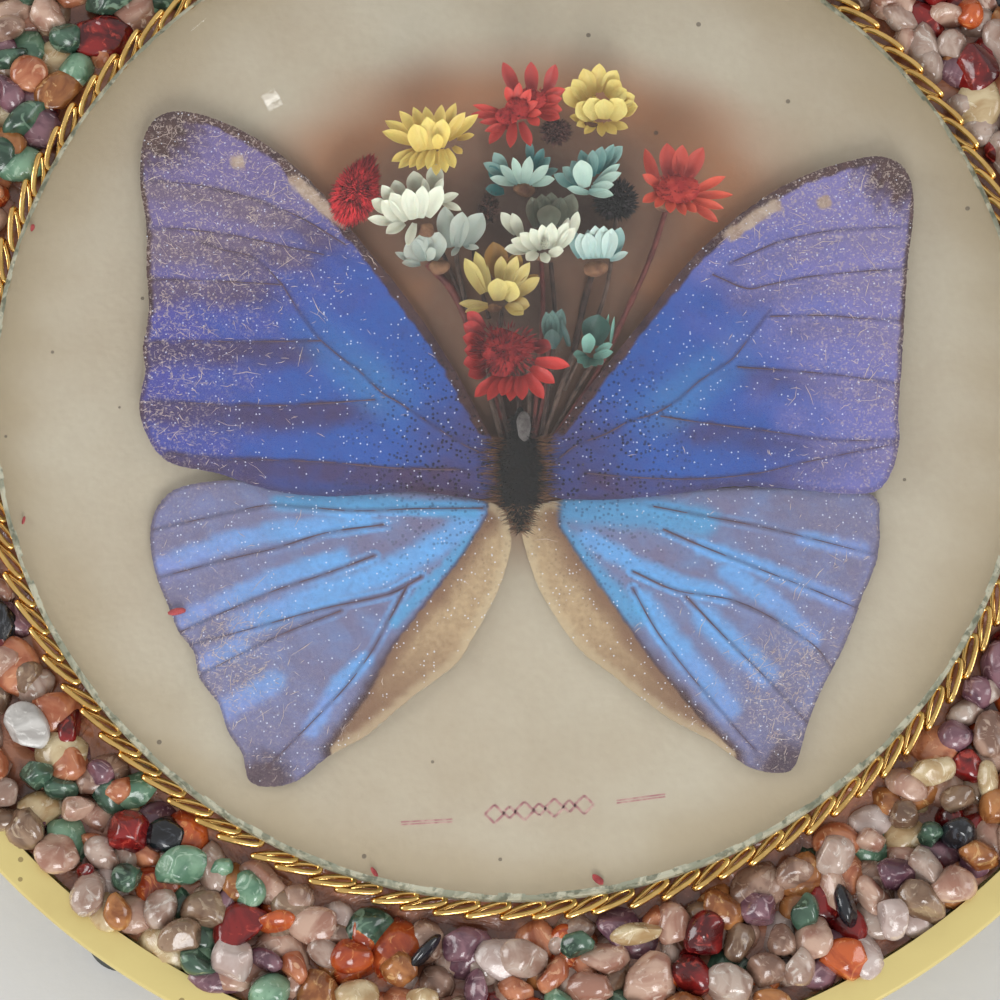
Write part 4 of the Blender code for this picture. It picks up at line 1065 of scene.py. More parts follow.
def build_glass():
    """Convex glass; its outer ring is ground and chipped unevenly."""
    edge_top = GLASS_LOW.z + GLASS_EDGE
    rise = GLASS_HIGH.z - edge_top
    outer = (GLASS_RADIUS ** 2 + rise ** 2) / (2.0 * rise)
    centre = GLASS_HIGH.z - outer
    inner = outer - GLASS_THICKNESS
    inner_reach = math.sqrt(inner ** 2 - (GLASS_LOW.z - centre) ** 2)
    profile = []
    for k in range(GLASS_RINGS + 1):
        radius = inner_reach * k / GLASS_RINGS
        profile.append((radius, centre + math.sqrt(inner ** 2 - radius ** 2)))
    profile.append((GLASS_RADIUS, GLASS_LOW.z))
    bevel = 0.25 * MM
    profile.append((GLASS_RADIUS, edge_top - bevel))
    fine = [GLASS_RADIUS - bevel - GROUND_WIDTH * k / 6 for k in range(7)]
    coarse = [fine[-1] * (1.0 - k / GLASS_RINGS) for k in range(1, GLASS_RINGS + 1)]
    first_ground = len(profile) - 1
    for radius in fine + coarse:
        profile.append((radius, centre + math.sqrt(outer ** 2 - radius ** 2)))
    shape = Shape()
    verts, faces = lathe(profile, GLASS_MIDDLE)
    turns = 2.0 * np.pi * np.arange(LATHE_STEPS) / LATHE_STEPS
    chipped = 4.2 + 1.6 * ripple(50.0 * np.cos(turns), 50.0 * np.sin(turns), 4.0, 17)
    shape.add(verts, faces)
    for index in range(len(faces)):
        row, column = divmod(index, LATHE_STEPS)
        if first_ground - 1 <= row < first_ground + chipped[column % LATHE_STEPS]:
            shape.marks[index] = 1
    shape.piece("glass_dome", [clear_glass_material(), ground_edge_material()], "glass", ["convex_glass"], sharp=30.0)


def link_path(steps=28):
    """One twisted chain link round the origin: X runs along the chain, Y outward, Z up."""
    half_length, half_width = 2.3 * MM, 0.64 * MM
    path = []
    for i in range(steps):
        turn = 2.0 * math.pi * i / steps
        along = math.copysign(abs(math.cos(turn)) ** 0.85, math.cos(turn))
        across = math.copysign(abs(math.sin(turn)) ** 0.6, math.sin(turn))
        lean = math.radians(44.0 + 22.0 * along)
        path.append(Vector((half_length * along, half_width * across * math.cos(lean),
                            half_width * across * math.sin(lean))))
    return path


def build_chain(sizes, colours):
    """Curb chain of separate twisted links, each slanted and hooked through the next."""
    ring = (CHAIN_HIGH.x - CHAIN_LOW.x) / 2 - 1.8 * MM
    level = (CHAIN_LOW.z + CHAIN_HIGH.z) / 2 + 0.15 * MM
    shape = Shape()
    rng = random.Random(9)
    for k in range(sizes.chain_links):
        angle = 2.0 * math.pi * (k + 0.35 * rng.uniform(-0.3, 0.3)) / sizes.chain_links
        slant = math.radians(sizes.link_slant + rng.uniform(-3.0, 3.0))
        roll = math.radians(rng.uniform(-6.0, 6.0))
        outward = Vector((math.cos(angle), math.sin(angle), 0.0))
        clockwise = Vector((math.sin(angle), -math.cos(angle), 0.0))
        frame_of_link = Matrix((clockwise, outward, Vector((0.0, 0.0, 1.0)))).transposed()
        lean = frame_of_link @ Matrix.Rotation(slant, 3, "Z") @ Matrix.Rotation(roll, 3, "X")
        middle = Vector((GLASS_MIDDLE.x, GLASS_MIDDLE.y, level)) + ring * outward
        path = [middle + lean @ p for p in link_path()]
        shape.add(*tube(path, sizes.link_wire / 2, 10, closed=True))
    shape.piece("curb_links", [chain_material(colours.chain)], "chain", ["chain"], sharp=60.0)


def wing_outline(name):
    """The solid wing's outline in card millimetres, as a smooth closed curve."""
    spots = {(round((v.co.x - GLASS_MIDDLE.x) / MM, 3), round((v.co.y - GLASS_MIDDLE.y) / MM, 3))
             for v in frame["nodes"][name].data.vertices}
    spots = np.array(sorted(spots))
    middle = spots.mean(0)
    order = np.argsort(np.arctan2(spots[:, 1] - middle[1], spots[:, 0] - middle[0]))
    corners = [Vector((x, y)) for x, y in spots[order]]
    count = len(corners)
    outline = []
    for i in range(count):
        a, b, c, d = (corners[(i + k) % count] for k in (-1, 0, 1, 2))
        for step in range(WING_OUTLINE_STEPS):
            t = step / WING_OUTLINE_STEPS
            outline.append(0.5 * (2.0 * b + (c - a) * t + (2.0 * a - 5.0 * b + 4.0 * c - d) * t * t
                                  + (3.0 * b - 3.0 * c + d - a) * t ** 3))
    return np.array([tuple(p) for p in outline]), middle


def painted_shade_bands(x, y, veins, outward):
    """Painted shade: a dull band along the rear side of each vein, where the waved wing turns from the light, fading
    out at the vein's inner end.
    """
    dull_and_shaded = np.zeros_like(x)
    for vein in veins:
        curve = np.array(sorted(vein))
        gap = np.interp(x, curve[:, 0], curve[:, 1]) - y
        inner_end = curve[0, 0] if outward > 0.0 else curve[-1, 0]
        begun = ramp(outward * (x - inner_end), -2.5, 4.0)
        dull_and_shaded = np.maximum(dull_and_shaded, begun * ramp(gap, -0.2, 0.2) * ramp(-gap, -3.9, -1.3))
    return dull_and_shaded


def wing_masks(name, look, x, y, outline):
    """How blue, brown, pale, worn and dark each place on a wing is."""
    root = look["root"]
    uneven = ripple(x, y, 6.0, len(name))
    fine = ripple(x, y, 1.6, 40 + len(name))
    reach = np.hypot(x - root[0], y - root[1])
    veins = look["veins"]
    near_vein = np.min([distance_to(vein, x, y) for vein in veins], axis=0)
    closed = [tuple(p) for p in outline[::4]] + [tuple(outline[0])]
    near_edge = distance_to(closed, x, y)
    none = np.zeros_like(x)
    masks = dict(outward=ramp(reach + 3.0 * uneven, 16.0, 44.0), turquoise=none, brown=none, fold=none, hind=none,
                 fold_edge=none, fold_brown=none, pale=none, dusty=none, sheen=none,
                 peppered=ramp(-reach, -20.0, -6.0) * 0.82 + 0.14)
    shade = 0.5 * ramp(-near_vein, -0.45, 0.0)
    left = name.endswith("left")
    if name.startswith("forewing"):
        # Painted shade in bands behind the veins, stronger on the left forewing.
        dull_and_shaded = painted_shade_bands(x, y + 0.3 * uneven + 0.15 * fine, veins[1:], -1.0 if left else 1.0)
        cell = distance_to(veins[0], x, y)
        near_root = ramp(-reach, -12.0, -4.0)
        shade_strength = 0.85 if left else 0.6
        masks["band"] = np.clip(1.0 - shade_strength * dull_and_shaded - 0.65 * near_root, 0.0, 1.0)
        costa = distance_to(look["costa"], x, y)
        apex = np.hypot(x - look["apex"][0], y - look["apex"][1])
        margin_share = ramp(reach, 34.0, 42.0)
        brown = np.maximum(ramp(-costa - 0.15 * fine, -1.1, -0.75), ramp(-apex - 0.9 * fine, -7.5, -2.6))
        brown = np.maximum(brown, ramp(-near_edge - 0.12 * fine, -0.75, -0.2) * (0.35 + 0.65 * margin_share))
        masks["brown"] = np.clip(brown, 0.0, 0.95)
        spot = np.hypot((x - look["spot"][0]) / 0.85, (y - look["spot"][1]) / 0.7)
        dash = distance_to(look["dash"], x, y)
        masks["pale"] = np.clip(np.maximum(ramp(-spot - 0.25 * fine, -1.25, -0.8),
                                           ramp(-dash - 0.22 * fine, -0.85, -0.45)), 0.0, 0.95)
        masks["rubbed"] = ramp(reach + 3.0 * uneven, 24.0, 38.0) * 0.85
        if left:
            shade = np.maximum(shade, 0.45 * ramp(-y - 0.3 * uneven, 9.8, 11.4))
            masks["dusty"] = 0.34 * ramp(reach + 2.0 * uneven, 26.0, 38.0) * ramp(y + uneven, 6.0, 16.0)
        else:
            masks["sheen"] = 0.36 * ramp(reach + 2.0 * uneven, 21.0, 34.0)
            masks["dusty"] = 0.24 * ramp(reach + 2.0 * uneven, 33.0, 41.0)
        masks["turquoise"] = 0.3 * ramp(-cell, -4.0, -1.0) * ramp(-reach, -30.0, -14.0) * ramp(reach, 8.0, 16.0)
    else:
        masks["hind"] = none + 1.0
        rays = {"blue": none, "turquoise": none}
        for tint, width, path in look["rays"]:
            away = distance_to(path, x, y) + 0.12 * fine + 0.1 * uneven
            rays[tint] = np.maximum(rays[tint], ramp(-away, -1.1 * width, -0.3 * width))
        beside_vein = ramp(-np.abs(near_vein - 0.5), -0.35, -0.08) * ramp(-reach, -30.0, -8.0)
        masks["band"] = np.clip(0.12 + 0.1 * uneven + 0.8 * rays["blue"] + 0.7 * beside_vein, 0.0, 1.0)
        masks["turquoise"] = 0.85 * rays["turquoise"]
        fold_curve = np.array(look["fold"])
        order = np.argsort(-fold_curve[:, 1])
        at = np.interp(-y, -fold_curve[order, 1], fold_curve[order, 0])
        inward = (x - at) * (1.0 if left else -1.0)
        masks["fold"] = ramp(inward + 0.1 * fine, -0.15, 0.25)
        masks["fold_edge"] = masks["fold"] * ramp(-near_edge - 0.2 * fine, -1.4, -0.3) * 0.6
        masks["fold_brown"] = np.maximum(ramp(-inward - 0.5 * uneven, -3.2, -0.2), ramp(-y, 24.0, 36.0))
        tip = np.hypot(x - look["tip"][0], y - look["tip"][1])
        rear = ramp(-np.abs(inward) - 0.2 * fine, -1.8, -0.2) * ramp(-y, 22.0, 34.0)
        masks["brown"] = np.clip(np.maximum(ramp(-tip - 0.5 * fine, -5.2, -1.6) * 0.8, rear * 0.85), 0.0, 0.9)
        masks["brown"] = np.maximum(masks["brown"], 0.5 * ramp(-near_edge, -0.5, -0.1) * (1.0 - masks["fold"]))
        worn = np.hypot(x - look["worn"][0], y - look["worn"][1])
        masks["rubbed"] = 0.3 * ramp(reach, 20.0, 36.0) + 0.6 * ramp(-worn, -8.0, -3.0)
        masks["peppered"] = masks["peppered"] * (0.5 - 0.3 * masks["fold"])
        shade = np.maximum(shade * (1.0 - masks["fold"]), 0.75 * ramp(-np.abs(inward), -0.6, 0.0))
    masks["shade"] = np.clip(shade, 0.0, 0.9)
    return masks


def inside(outline, x, y):
    """True if the place lies inside the closed outline."""
    ax, ay = outline[:, 0], outline[:, 1]
    bx, by = np.roll(ax, -1), np.roll(ay, -1)
    crosses = (ay > y) != (by > y)
    at = ax + (y - ay) / np.where(by == ay, 1e-9, by - ay) * (bx - ax)
    return bool(np.sum(crosses & (x < at)) % 2)


def add_strokes(shape, look, outline, top, count, seed):
    """Fine pale scratches where the scales are rubbed off."""
    rng = random.Random(seed)
    low, high = outline.min(0), outline.max(0)
    made = 0
    while made < count:
        x, y = rng.uniform(low[0], high[0]), rng.uniform(low[1], high[1])
        reach = math.hypot(x - look["root"][0], y - look["root"][1])
        chance = min(max((reach - 20.0) / 16.0, 0.03), 1.0)
        if "worn" in look:
            near = math.hypot(x - look["worn"][0], y - look["worn"][1])
            chance = 0.12 * chance + (1.0 if near < 4.5 else 0.3 if near < 8.0 else 0.0)
        if rng.random() > chance or not inside(outline, x, y):
            continue
        turn = rng.gauss(0.0, 0.8) if "worn" not in look else rng.choice((0.5, 1.0, -0.4, 1.4)) + rng.gauss(0.0, 0.25)
        length = rng.uniform(0.2, 1.0) if rng.random() < 0.88 else rng.uniform(1.0, 3.0)
        bend = rng.uniform(-0.3, 0.3)
        path = [(x, y), (x + 0.5 * length * math.cos(turn), y + 0.5 * length * math.sin(turn)),
                (x + length * math.cos(turn + bend), y + length * math.sin(turn + bend))]
        if not all(inside(outline, *p) for p in path):
            continue
        radius = STROKE_RADIUS * rng.uniform(0.6, 1.3)
        shape.add(*tube([on_card(*p, top / MM) for p in path], [0.4 * radius, radius, 0.3 * radius], 4), mark=2)
        made += 1


def build_wing(name, look, sizes, materials):
    """One wing: a thin waved sheet with raised veins and rubbed scratches."""
    low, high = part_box(name)
    outline, middle = wing_outline(name)
    rng = np.random.default_rng(len(name))
    fray = rng.normal(0.0, 0.05, outline.shape[0])
    toward = (outline - middle) / np.linalg.norm(outline - middle, axis=1)[:, None]
    outline = outline - toward * np.abs(fray)[:, None]
    count = outline.shape[0]
    shares = (np.arange(WING_ROWS) + 1.0) / WING_ROWS
    plan = middle + shares[:, None, None] * (outline - middle)[None]
    x = np.append(plan[:, :, 0].ravel(), middle[0])
    y = np.append(plan[:, :, 1].ravel(), middle[1])
    masks = wing_masks(name, look, x, y, outline)
    near_vein = np.min([distance_to(vein, x, y) for vein in look["veins"]], axis=0)
    top = high.z - 0.05 * MM
    wave = 0.035 * ripple(x, y, 5.0, 12) + 0.05 * ramp(-near_vein, -0.8, 0.0)
    verts = np.column_stack((x * MM + GLASS_MIDDLE.x, y * MM + GLASS_MIDDLE.y, top + wave * MM))
    faces = grid_faces(WING_ROWS, count, wrap_columns=True)
    pole = WING_ROWS * count
    faces += [(i, (i + 1) % count, pole) for i in range(count)]
    edge = (WING_ROWS - 1) * count
    under = verts[edge:edge + count].copy()
    under[:, 2] = top - sizes.wing_sheet
    start = pole + 1
    faces += [(edge + i, edge + (i + 1) % count, start + (i + 1) % count, start + i) for i in range(count)]
    verts = np.vstack((verts, under, [[verts[pole][0], verts[pole][1], top - sizes.wing_sheet]]))
    faces += [(start + i, start + (i + 1) % count, start + count) for i in range(count)]
    shape = Shape()
    masks = {key: np.concatenate((values, values[edge:edge + count], values[-1:])) for key, values in masks.items()}
    shape.add(verts, faces, **masks)
    for vein in look["veins"]:
        path = smooth_path([on_card(*p, (top + 0.02 * MM) / MM) for p in vein], 5)
        radii = [sizes.vein_width / 2 * (1.0 - 0.5 * i / len(path)) for i in range(len(path))]
        shape.add(*tube(path, radii, 6, flat=0.6), mark=1)
    add_strokes(shape, look, outline, top + 0.04 * MM, look["strokes"], 60 + len(name) + int(name.endswith("left")))
    shape.piece(name + "_scaled", materials, "wing", [name], sharp=60.0)


def build_wings(sizes, colours):
    materials = [
        wing_material(colours),
        plain_material("wing_vein", (66, 48, 66), (92, 66, 74), roughness=0.5),
        plain_material("rubbed_scratch", (206, 188, 174), (176, 154, 150), roughness=0.6),
    ]
    for name, look in WINGS.items():
        build_wing(name, look, sizes, materials)


def hair(shape, root, tip, radius, mark=0):
    """A fine tapering hair of three sides."""
    along = (tip - root).normalized()
    side = along.cross(Vector((0.0, 0.0, 1.0)))
    side = side.normalized() if side.length > 0.05 else Vector((1.0, 0.0, 0.0))
    over = side.cross(along)
    base = [root + radius * (math.cos(a) * side + math.sin(a) * over) for a in (0.0, 2.09, 4.19)]
    shape.add(base + [tip], [(0, 1, 2), (0, 1, 3), (1, 2, 3), (2, 0, 3)], mark=mark)


def build_body(sizes):
    """Hairy dark body in the shape of its solid, with brown tufts over the wing roots."""
    low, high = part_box("butterfly_body")
    middle = (low + high) / 2
    rng = random.Random(31)
    shape = Shape()
    stations = ((0.0, 0.12), (0.06, 0.3), (0.14, 0.42), (0.24, 0.5), (0.33, 0.72), (0.5, 0.95), (0.66, 0.92),
                (0.8, 0.78), (0.92, 0.5), (1.0, 0.12))
    radii = [share * (high.x - low.x) / 2 * 0.88 for _, share in stations]
    path = [Vector((middle.x, high.y + (low.y - high.y) * t, middle.z)) for t, _ in stations]
    shape.add(*tube(path, radii, 20, flat=0.85))
    for _ in range(sizes.body_hairs):
        t = rng.uniform(0.05, 1.0)
        girth = float(np.interp(t, [s[0] for s in stations], radii))
        angle = rng.uniform(-0.2, math.pi + 0.2)
        out = Vector((math.cos(angle), 0.0, 0.85 * math.sin(angle)))
        root = Vector((middle.x, high.y + (low.y - high.y) * t, middle.z)) + girth * out
        lean = Vector((0.3 * rng.uniform(-1.0, 1.0), rng.uniform(-1.2, 0.2), -0.2))
        tip = root + (0.7 * out + 0.6 * lean) * rng.uniform(0.5, 1.7) * MM
        tip.z = max(min(tip.z, high.z + 0.3 * MM), low.z + 0.1 * MM)
        hair(shape, root - 0.2 * MM * out, tip, 0.065 * MM, mark=rng.choice((0, 0, 1) if t < 0.8 else (1, 2, 4)))
    places, faces = pebble(rng, 3)
    collar = on_card(1.2, -5.0)
    collar.z = middle.z + radii[2]
    shape.add(lay_stone(places, collar, (0.9 * MM, 1.9 * MM, 0.6 * MM), 0.0, 0.0, 0.0), faces, mark=3)
    for side in (-1.0, 1.0):
        for _ in range(240):
            y = rng.uniform(-12.6, -5.8)
            start = on_card(0.9 + side * rng.uniform(1.0, 2.0), y, 21.9 + rng.uniform(0.0, 0.7))
            reach = rng.uniform(0.8, 3.4)
            tip = start + Vector((side * reach, 0.3 * reach * rng.uniform(-0.6, 1.2), -0.12 * reach)) * MM
            hair(shape, start, tip, 0.06 * MM, mark=rng.choice((1, 2, 2)))
    materials = [plain_material("body_hair", (7, 6, 7), (18, 14, 15), roughness=0.9),
                 plain_material("body_fluff", (30, 22, 20), (50, 38, 32), roughness=0.9),
                 plain_material("root_tuft", (96, 60, 42), (126, 88, 64), roughness=0.8),
                 plain_material("collar_grey", (98, 92, 90), (66, 58, 58), roughness=0.8),
                 plain_material("tail_hair", (128, 108, 84), (92, 76, 58), roughness=0.9)]
    shape.piece("butterfly_body_hairy", materials, "body", ["butterfly_body"], sharp=180.0)


def dome_ceiling(x, y):
    """Height of the glass's hollow above a place, less a small clearance."""
    rise = GLASS_HIGH.z - GLASS_LOW.z - GLASS_EDGE
    outer = (GLASS_RADIUS ** 2 + rise ** 2) / (2.0 * rise)
    away = math.hypot(x - GLASS_MIDDLE.x, y - GLASS_MIDDLE.y)
    return GLASS_HIGH.z - outer + math.sqrt((outer - GLASS_THICKNESS) ** 2 - away ** 2) - DOME_CLEARANCE


def petal_spread(t):
    """Share of a petal's width at a share t of its length: widest past the middle, pointed at the tip."""
    widest = 0.55
    if t < widest:
        return 0.5 + 0.5 * math.sin(0.5 * math.pi * t / widest)
    return max((1.0 - ((t - widest) / (1.0 - widest)) ** 2) ** 0.9, 0.03)


def add_petal(shape, base, heading, length, width, depth):
    """A thin cupped petal that rises to its pointed tip and stays under the glass."""
    along = Vector((math.cos(heading), math.sin(heading), 0.0))
    side = Vector((-along.y, along.x, 0.0))
    lift = min(0.2 + 0.45 * math.sqrt(max(21.0 - (length / MM) ** 2, 0.0)), 1.7) * MM
    rows = []
    deep = []
    for sheet in (0.0, PETAL_THICKNESS):
        for r in range(PETAL_ROWS):
            t = r / (PETAL_ROWS - 1)
            half = 0.5 * width * petal_spread(t)
            for c in range(PETAL_COLUMNS):
                s = 2.0 * c / (PETAL_COLUMNS - 1) - 1.0
                place = base + along * (length * t) + side * (half * s)
                place.z += lift * t ** 1.2 + 0.4 * half * s * s + sheet
                place.z = min(place.z, dome_ceiling(place.x, place.y))
                rows.append(place)
                # Deeper towards the base and the middle line: partly the petal's own colour, partly painted shade in
                # the head's hollows.
                deep.append(min(depth + 0.4 * (1.0 - t) ** 2 + 0.08 * (1.0 - abs(s)), 1.0))
    half = PETAL_ROWS * PETAL_COLUMNS
    faces = grid_faces(PETAL_ROWS, PETAL_COLUMNS)
    faces += [tuple(half + i for i in face) for face in grid_faces(PETAL_ROWS, PETAL_COLUMNS)]
    rim = [c for c in range(PETAL_COLUMNS)]
    rim += [r * PETAL_COLUMNS + PETAL_COLUMNS - 1 for r in range(1, PETAL_ROWS)]
    rim += [(PETAL_ROWS - 1) * PETAL_COLUMNS + c for c in range(PETAL_COLUMNS - 2, -1, -1)]
    rim += [r * PETAL_COLUMNS for r in range(PETAL_ROWS - 2, 0, -1)]
    faces += [(a, b, half + b, half + a) for a, b in zip(rim, rim[1:] + rim[:1])]
    shape.add(rows, faces, deep=np.array(deep))


def add_fans(shape, fans, low, rng):
    """Petals of every fan, each a little above the one before."""
    laid = 0
    for first, last, first_heading, last_heading, count, length, width, tone_and_shade in fans:
        for k in range(count):
            share = k / (count - 1) if count > 1 else 0.0
            spot = Vector(first).lerp(Vector(last), share)
            base = on_card(spot.x, spot.y)
            base.z = low.z + PETAL_START + PETAL_STEP * laid
            spacing = (last_heading - first_heading) / max(count - 1, 1)
            heading = math.radians(first_heading + spacing * (k + rng.uniform(-0.2, 0.2)))
            # Depth of colour: partly the petal's own, partly painted shade on petals lying behind.
            depth = min(max(0.1 * (tone_and_shade + rng.uniform(-1.0, 1.0)), 0.0), 1.0)
            add_petal(shape, base, heading, length * rng.uniform(0.84, 1.12) * MM,
                      width * rng.uniform(0.88, 1.1) * MM, depth)
            laid += 1


def add_tuft(shape, disc, level, rng):
    """A domed disc of short bristles in the middle of a head."""
    x, y, half_width, half_depth = disc
    middle = on_card(x, y)
    middle.z = level
    halves = (half_width * MM, half_depth * MM, 0.9 * MM)
    places, faces = pebble(rng, 3)
    shape.add(lay_stone(places, middle, [0.92 * h for h in halves], 0.0, 0.0, 0.0), faces, mark=2)
    for _ in range(int(TUFT_HAIRS_PER_AREA * half_width * half_depth) + 14):
        reach = math.sqrt(rng.random())
        around = rng.uniform(0.0, 2.0 * math.pi)
        out = Vector((reach * math.cos(around), reach * math.sin(around), math.sqrt(1.0 - 0.85 * reach * reach)))
        root = middle + Vector([0.85 * o * h for o, h in zip(out, halves)])
        tip = middle + Vector([1.12 * o * h for o, h in zip(out, halves)])
        tip += Vector((rng.uniform(-0.15, 0.15), rng.uniform(-0.15, 0.15), 0.0)) * MM
        tip.z = min(tip.z, dome_ceiling(tip.x, tip.y))
        hair(shape, root, tip, TUFT_HAIR, mark=rng.choice((2, 2, 3)))


def build_open_flower(name, look, rng):
    """A head of thin dry petals round its calyx, some with a tufted middle."""
    (outer, inner), fans, discs, calyxes = look
    low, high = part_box(name)
    shape = Shape()
    for x, y, half_width, half_depth in calyxes:
        places, faces = pebble(rng, 3)
        middle = on_card(x, y)
        middle.z = low.z + 0.8 * MM
        shape.add(lay_stone(places, middle, (half_width * MM, half_depth * MM, 0.7 * MM), 0.0, 0.0, 0.0),
                  faces, mark=1)
    add_fans(shape, fans, low, rng)
    for disc in discs:
        add_tuft(shape, disc, low.z + 1.5 * MM, rng)
    materials = [petal_material(name + "_petal", outer, inner),
                 plain_material(name + "_calyx", (132, 94, 66), (86, 54, 42), roughness=0.75),
                 plain_material(name + "_middle", [0.5 * (a + b) for a, b in zip(outer, inner)], inner, roughness=0.8),
                 plain_material(name + "_middle_dark", inner, [0.6 * c for c in inner], roughness=0.8)]
    shape.piece(name + "_petals", materials, slot_of(name), [name], sharp=60.0)


def build_bristly_flower(name, look, rng):
    """A bristly head: short spikes all over an egg of the solid's size."""
    turn, taper, spikes, (outer, inner) = look
    low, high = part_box(name)
    middle = (low + high) / 2
    halves = np.array(high - low) / 2
    turned = np.array(Matrix.Rotation(math.radians(turn), 3, "Z"))
    slim = np.array((1.0 - 0.18 * abs(math.sin(2.0 * math.radians(turn))), 1.0, 1.0))

    def egg(spot, scale):
        shaped = spot * halves * slim * scale
        shaped[..., 0] *= 1.0 - taper * np.maximum(spot[..., 1], 0.0)
        return shaped @ turned.T + np.array(middle)

    shape = Shape()
    places, faces = pebble(rng, 3)
    shape.add(egg(places, 0.74), faces, mark=1)
    for _ in range(spikes):
        lift = rng.uniform(-0.4, 1.0)
        around = rng.uniform(0.0, 2.0 * math.pi)
        across = math.sqrt(1.0 - lift * lift)
        out = np.array((across * math.cos(around), across * math.sin(around), lift))
        tip = Vector(egg(out, rng.uniform(0.92, 1.12)))
        tip += Vector((rng.uniform(-0.25, 0.25), rng.uniform(-0.25, 0.25), 0.0)) * MM
        hair(shape, Vector(egg(out, 0.7)), tip, 1.4 * TUFT_HAIR, mark=rng.choice((0, 0, 1)))
    materials = [plain_material(name + "_tips", outer, inner, roughness=0.75),
                 plain_material(name + "_core", inner, [0.5 * c for c in inner], roughness=0.85)]
    shape.piece(name + "_bristles", materials, slot_of(name), [name], sharp=180.0)


def slot_of(node_name):
    """The record's material slot of a solid."""
    for part in frame["record"]["subparts"]:
        if part["node"] == node_name:
            return part["material_slot"]
    raise RuntimeError("no subpart for " + node_name)


def build_flowers():
    for index, (name, look) in enumerate(OPEN_FLOWERS.items()):
        build_open_flower(name, look, random.Random(300 + index))
    for index, (name, look) in enumerate(BRISTLY_FLOWERS.items()):
        build_bristly_flower(name, look, random.Random(400 + index))


def build_stems():
    """Thin dry stems that run together under the body's front end."""
    shape = Shape()
    low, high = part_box("flower_stems")
    level = (low.z + high.z) / 2 / MM
    rng = random.Random(77)
    for index, (start, middle, end, radius) in enumerate(STEMS):
        lift = level + 0.12 * (index % 4)
        path = smooth_path([on_card(*start, lift + 0.3), on_card(*middle, lift + 0.2), on_card(*end, lift)], 8)
        radii = [radius * MM * rng.uniform(0.9, 1.1) for _ in path]
        shape.add(*tube(path, radii, 8), mark=index % 3)
    materials = [plain_material("stem_red_brown", (104, 48, 42), (74, 32, 30), roughness=0.55),
                 plain_material("stem_brown", (72, 48, 40), (44, 30, 26), roughness=0.6),
                 plain_material("stem_grey", (96, 74, 64), (58, 44, 38), roughness=0.6)]
    shape.piece("dry_stems", materials, "stem", ["flower_stems"], sharp=60.0)


def build_stage():
    """Pale floor, soft light and the camera that looks down on the plaque."""
    floor_material, tree, shader = new_material("pale_floor", roughness=0.7)
    cloud = cloudiness(tree, 6.0)
    colour(tree, shader, mix(tree, cloud, linear((206, 206, 206)), linear((211, 211, 210))))
    relief(tree, shader, cloudiness(tree, 400.0), 0.02 * MM)
    mesh = bpy.data.meshes.new("floor")
    half = 2.0
    mesh.from_pydata([(-half, -half, 0), (half, -half, 0), (half, half, 0), (-half, half, 0)], [], [(0, 1, 2, 3)])
    mesh.materials.append(floor_material)
    floor = bpy.data.objects.new("floor", mesh)
    bpy.context.scene.collection.objects.link(floor)

    world = bpy.data.worlds.new("soft_room")
    world.use_nodes = True
    world.node_tree.nodes["Background"].inputs["Color"].default_value = (1.0, 0.99, 0.975, 1.0)
    world.node_tree.nodes["Background"].inputs["Strength"].default_value = 0.64
    bpy.context.scene.world = world
    for name, place, size, power in LAMPS:
        lamp = bpy.data.lights.new(name, "AREA")
        lamp.size = size
        lamp.energy = power
        light = bpy.data.objects.new(name, lamp)
        light.location = place
        light.rotation_mode = "QUATERNION"
        light.rotation_quaternion = (-Vector(place)).to_track_quat("-Z", "Y")
        bpy.context.scene.collection.objects.link(light)

    eye = bpy.data.cameras.new("overhead_camera")
    eye.lens = CAMERA_LENS
    eye.sensor_width = 36.0
    camera = bpy.data.objects.new("overhead_camera", eye)
    up = math.radians(CAMERA_ELEVATION)
    back = Vector((0.0, -math.cos(up), math.sin(up)))
    camera.location = CAMERA_AIM + CAMERA_DISTANCE * back
    camera.rotation_mode = "QUATERNION"
    camera.rotation_quaternion = (-back).to_track_quat("-Z", "Y")
    bpy.context.scene.collection.objects.link(camera)
    bpy.context.scene.camera = camera
    bpy.context.scene.view_settings.view_transform = "Standard"


class PlaqueSizes(bpy.types.PropertyGroup):
    chain_links: bpy.props.IntProperty(name="Chain links", description="Links round the glass", default=105, min=20)
    link_wire: bpy.props.FloatProperty(name="Link wire", description="Thickness of the chain's wire",
                                       default=0.66 * MM, precision=5, subtype="DISTANCE")
    link_slant: bpy.props.FloatProperty(name="Link slant", description="Turn of each link from the chain's run, in degrees",
                                        default=20.0)
    buried_chips: bpy.props.IntProperty(name="Buried chips", description="Small stones low in the resin", default=420)
    chain_chips: bpy.props.IntProperty(name="Chips at the chain", description="Small stones beside the chain",
                                       default=130)
    upper_chips: bpy.props.IntProperty(name="Upper chips", description="Small stones on top", default=260)
    vein_width: bpy.props.FloatProperty(name="Vein width", description="Width of a wing vein at its root",
                                        default=0.2 * MM, precision=5, subtype="DISTANCE")
    wing_sheet: bpy.props.FloatProperty(name="Wing thickness", description="Thickness of a wing's sheet",
                                        default=0.2 * MM, precision=5, subtype="DISTANCE")
    body_hairs: bpy.props.IntProperty(name="Body hairs", description="Hairs on the body", default=1500)


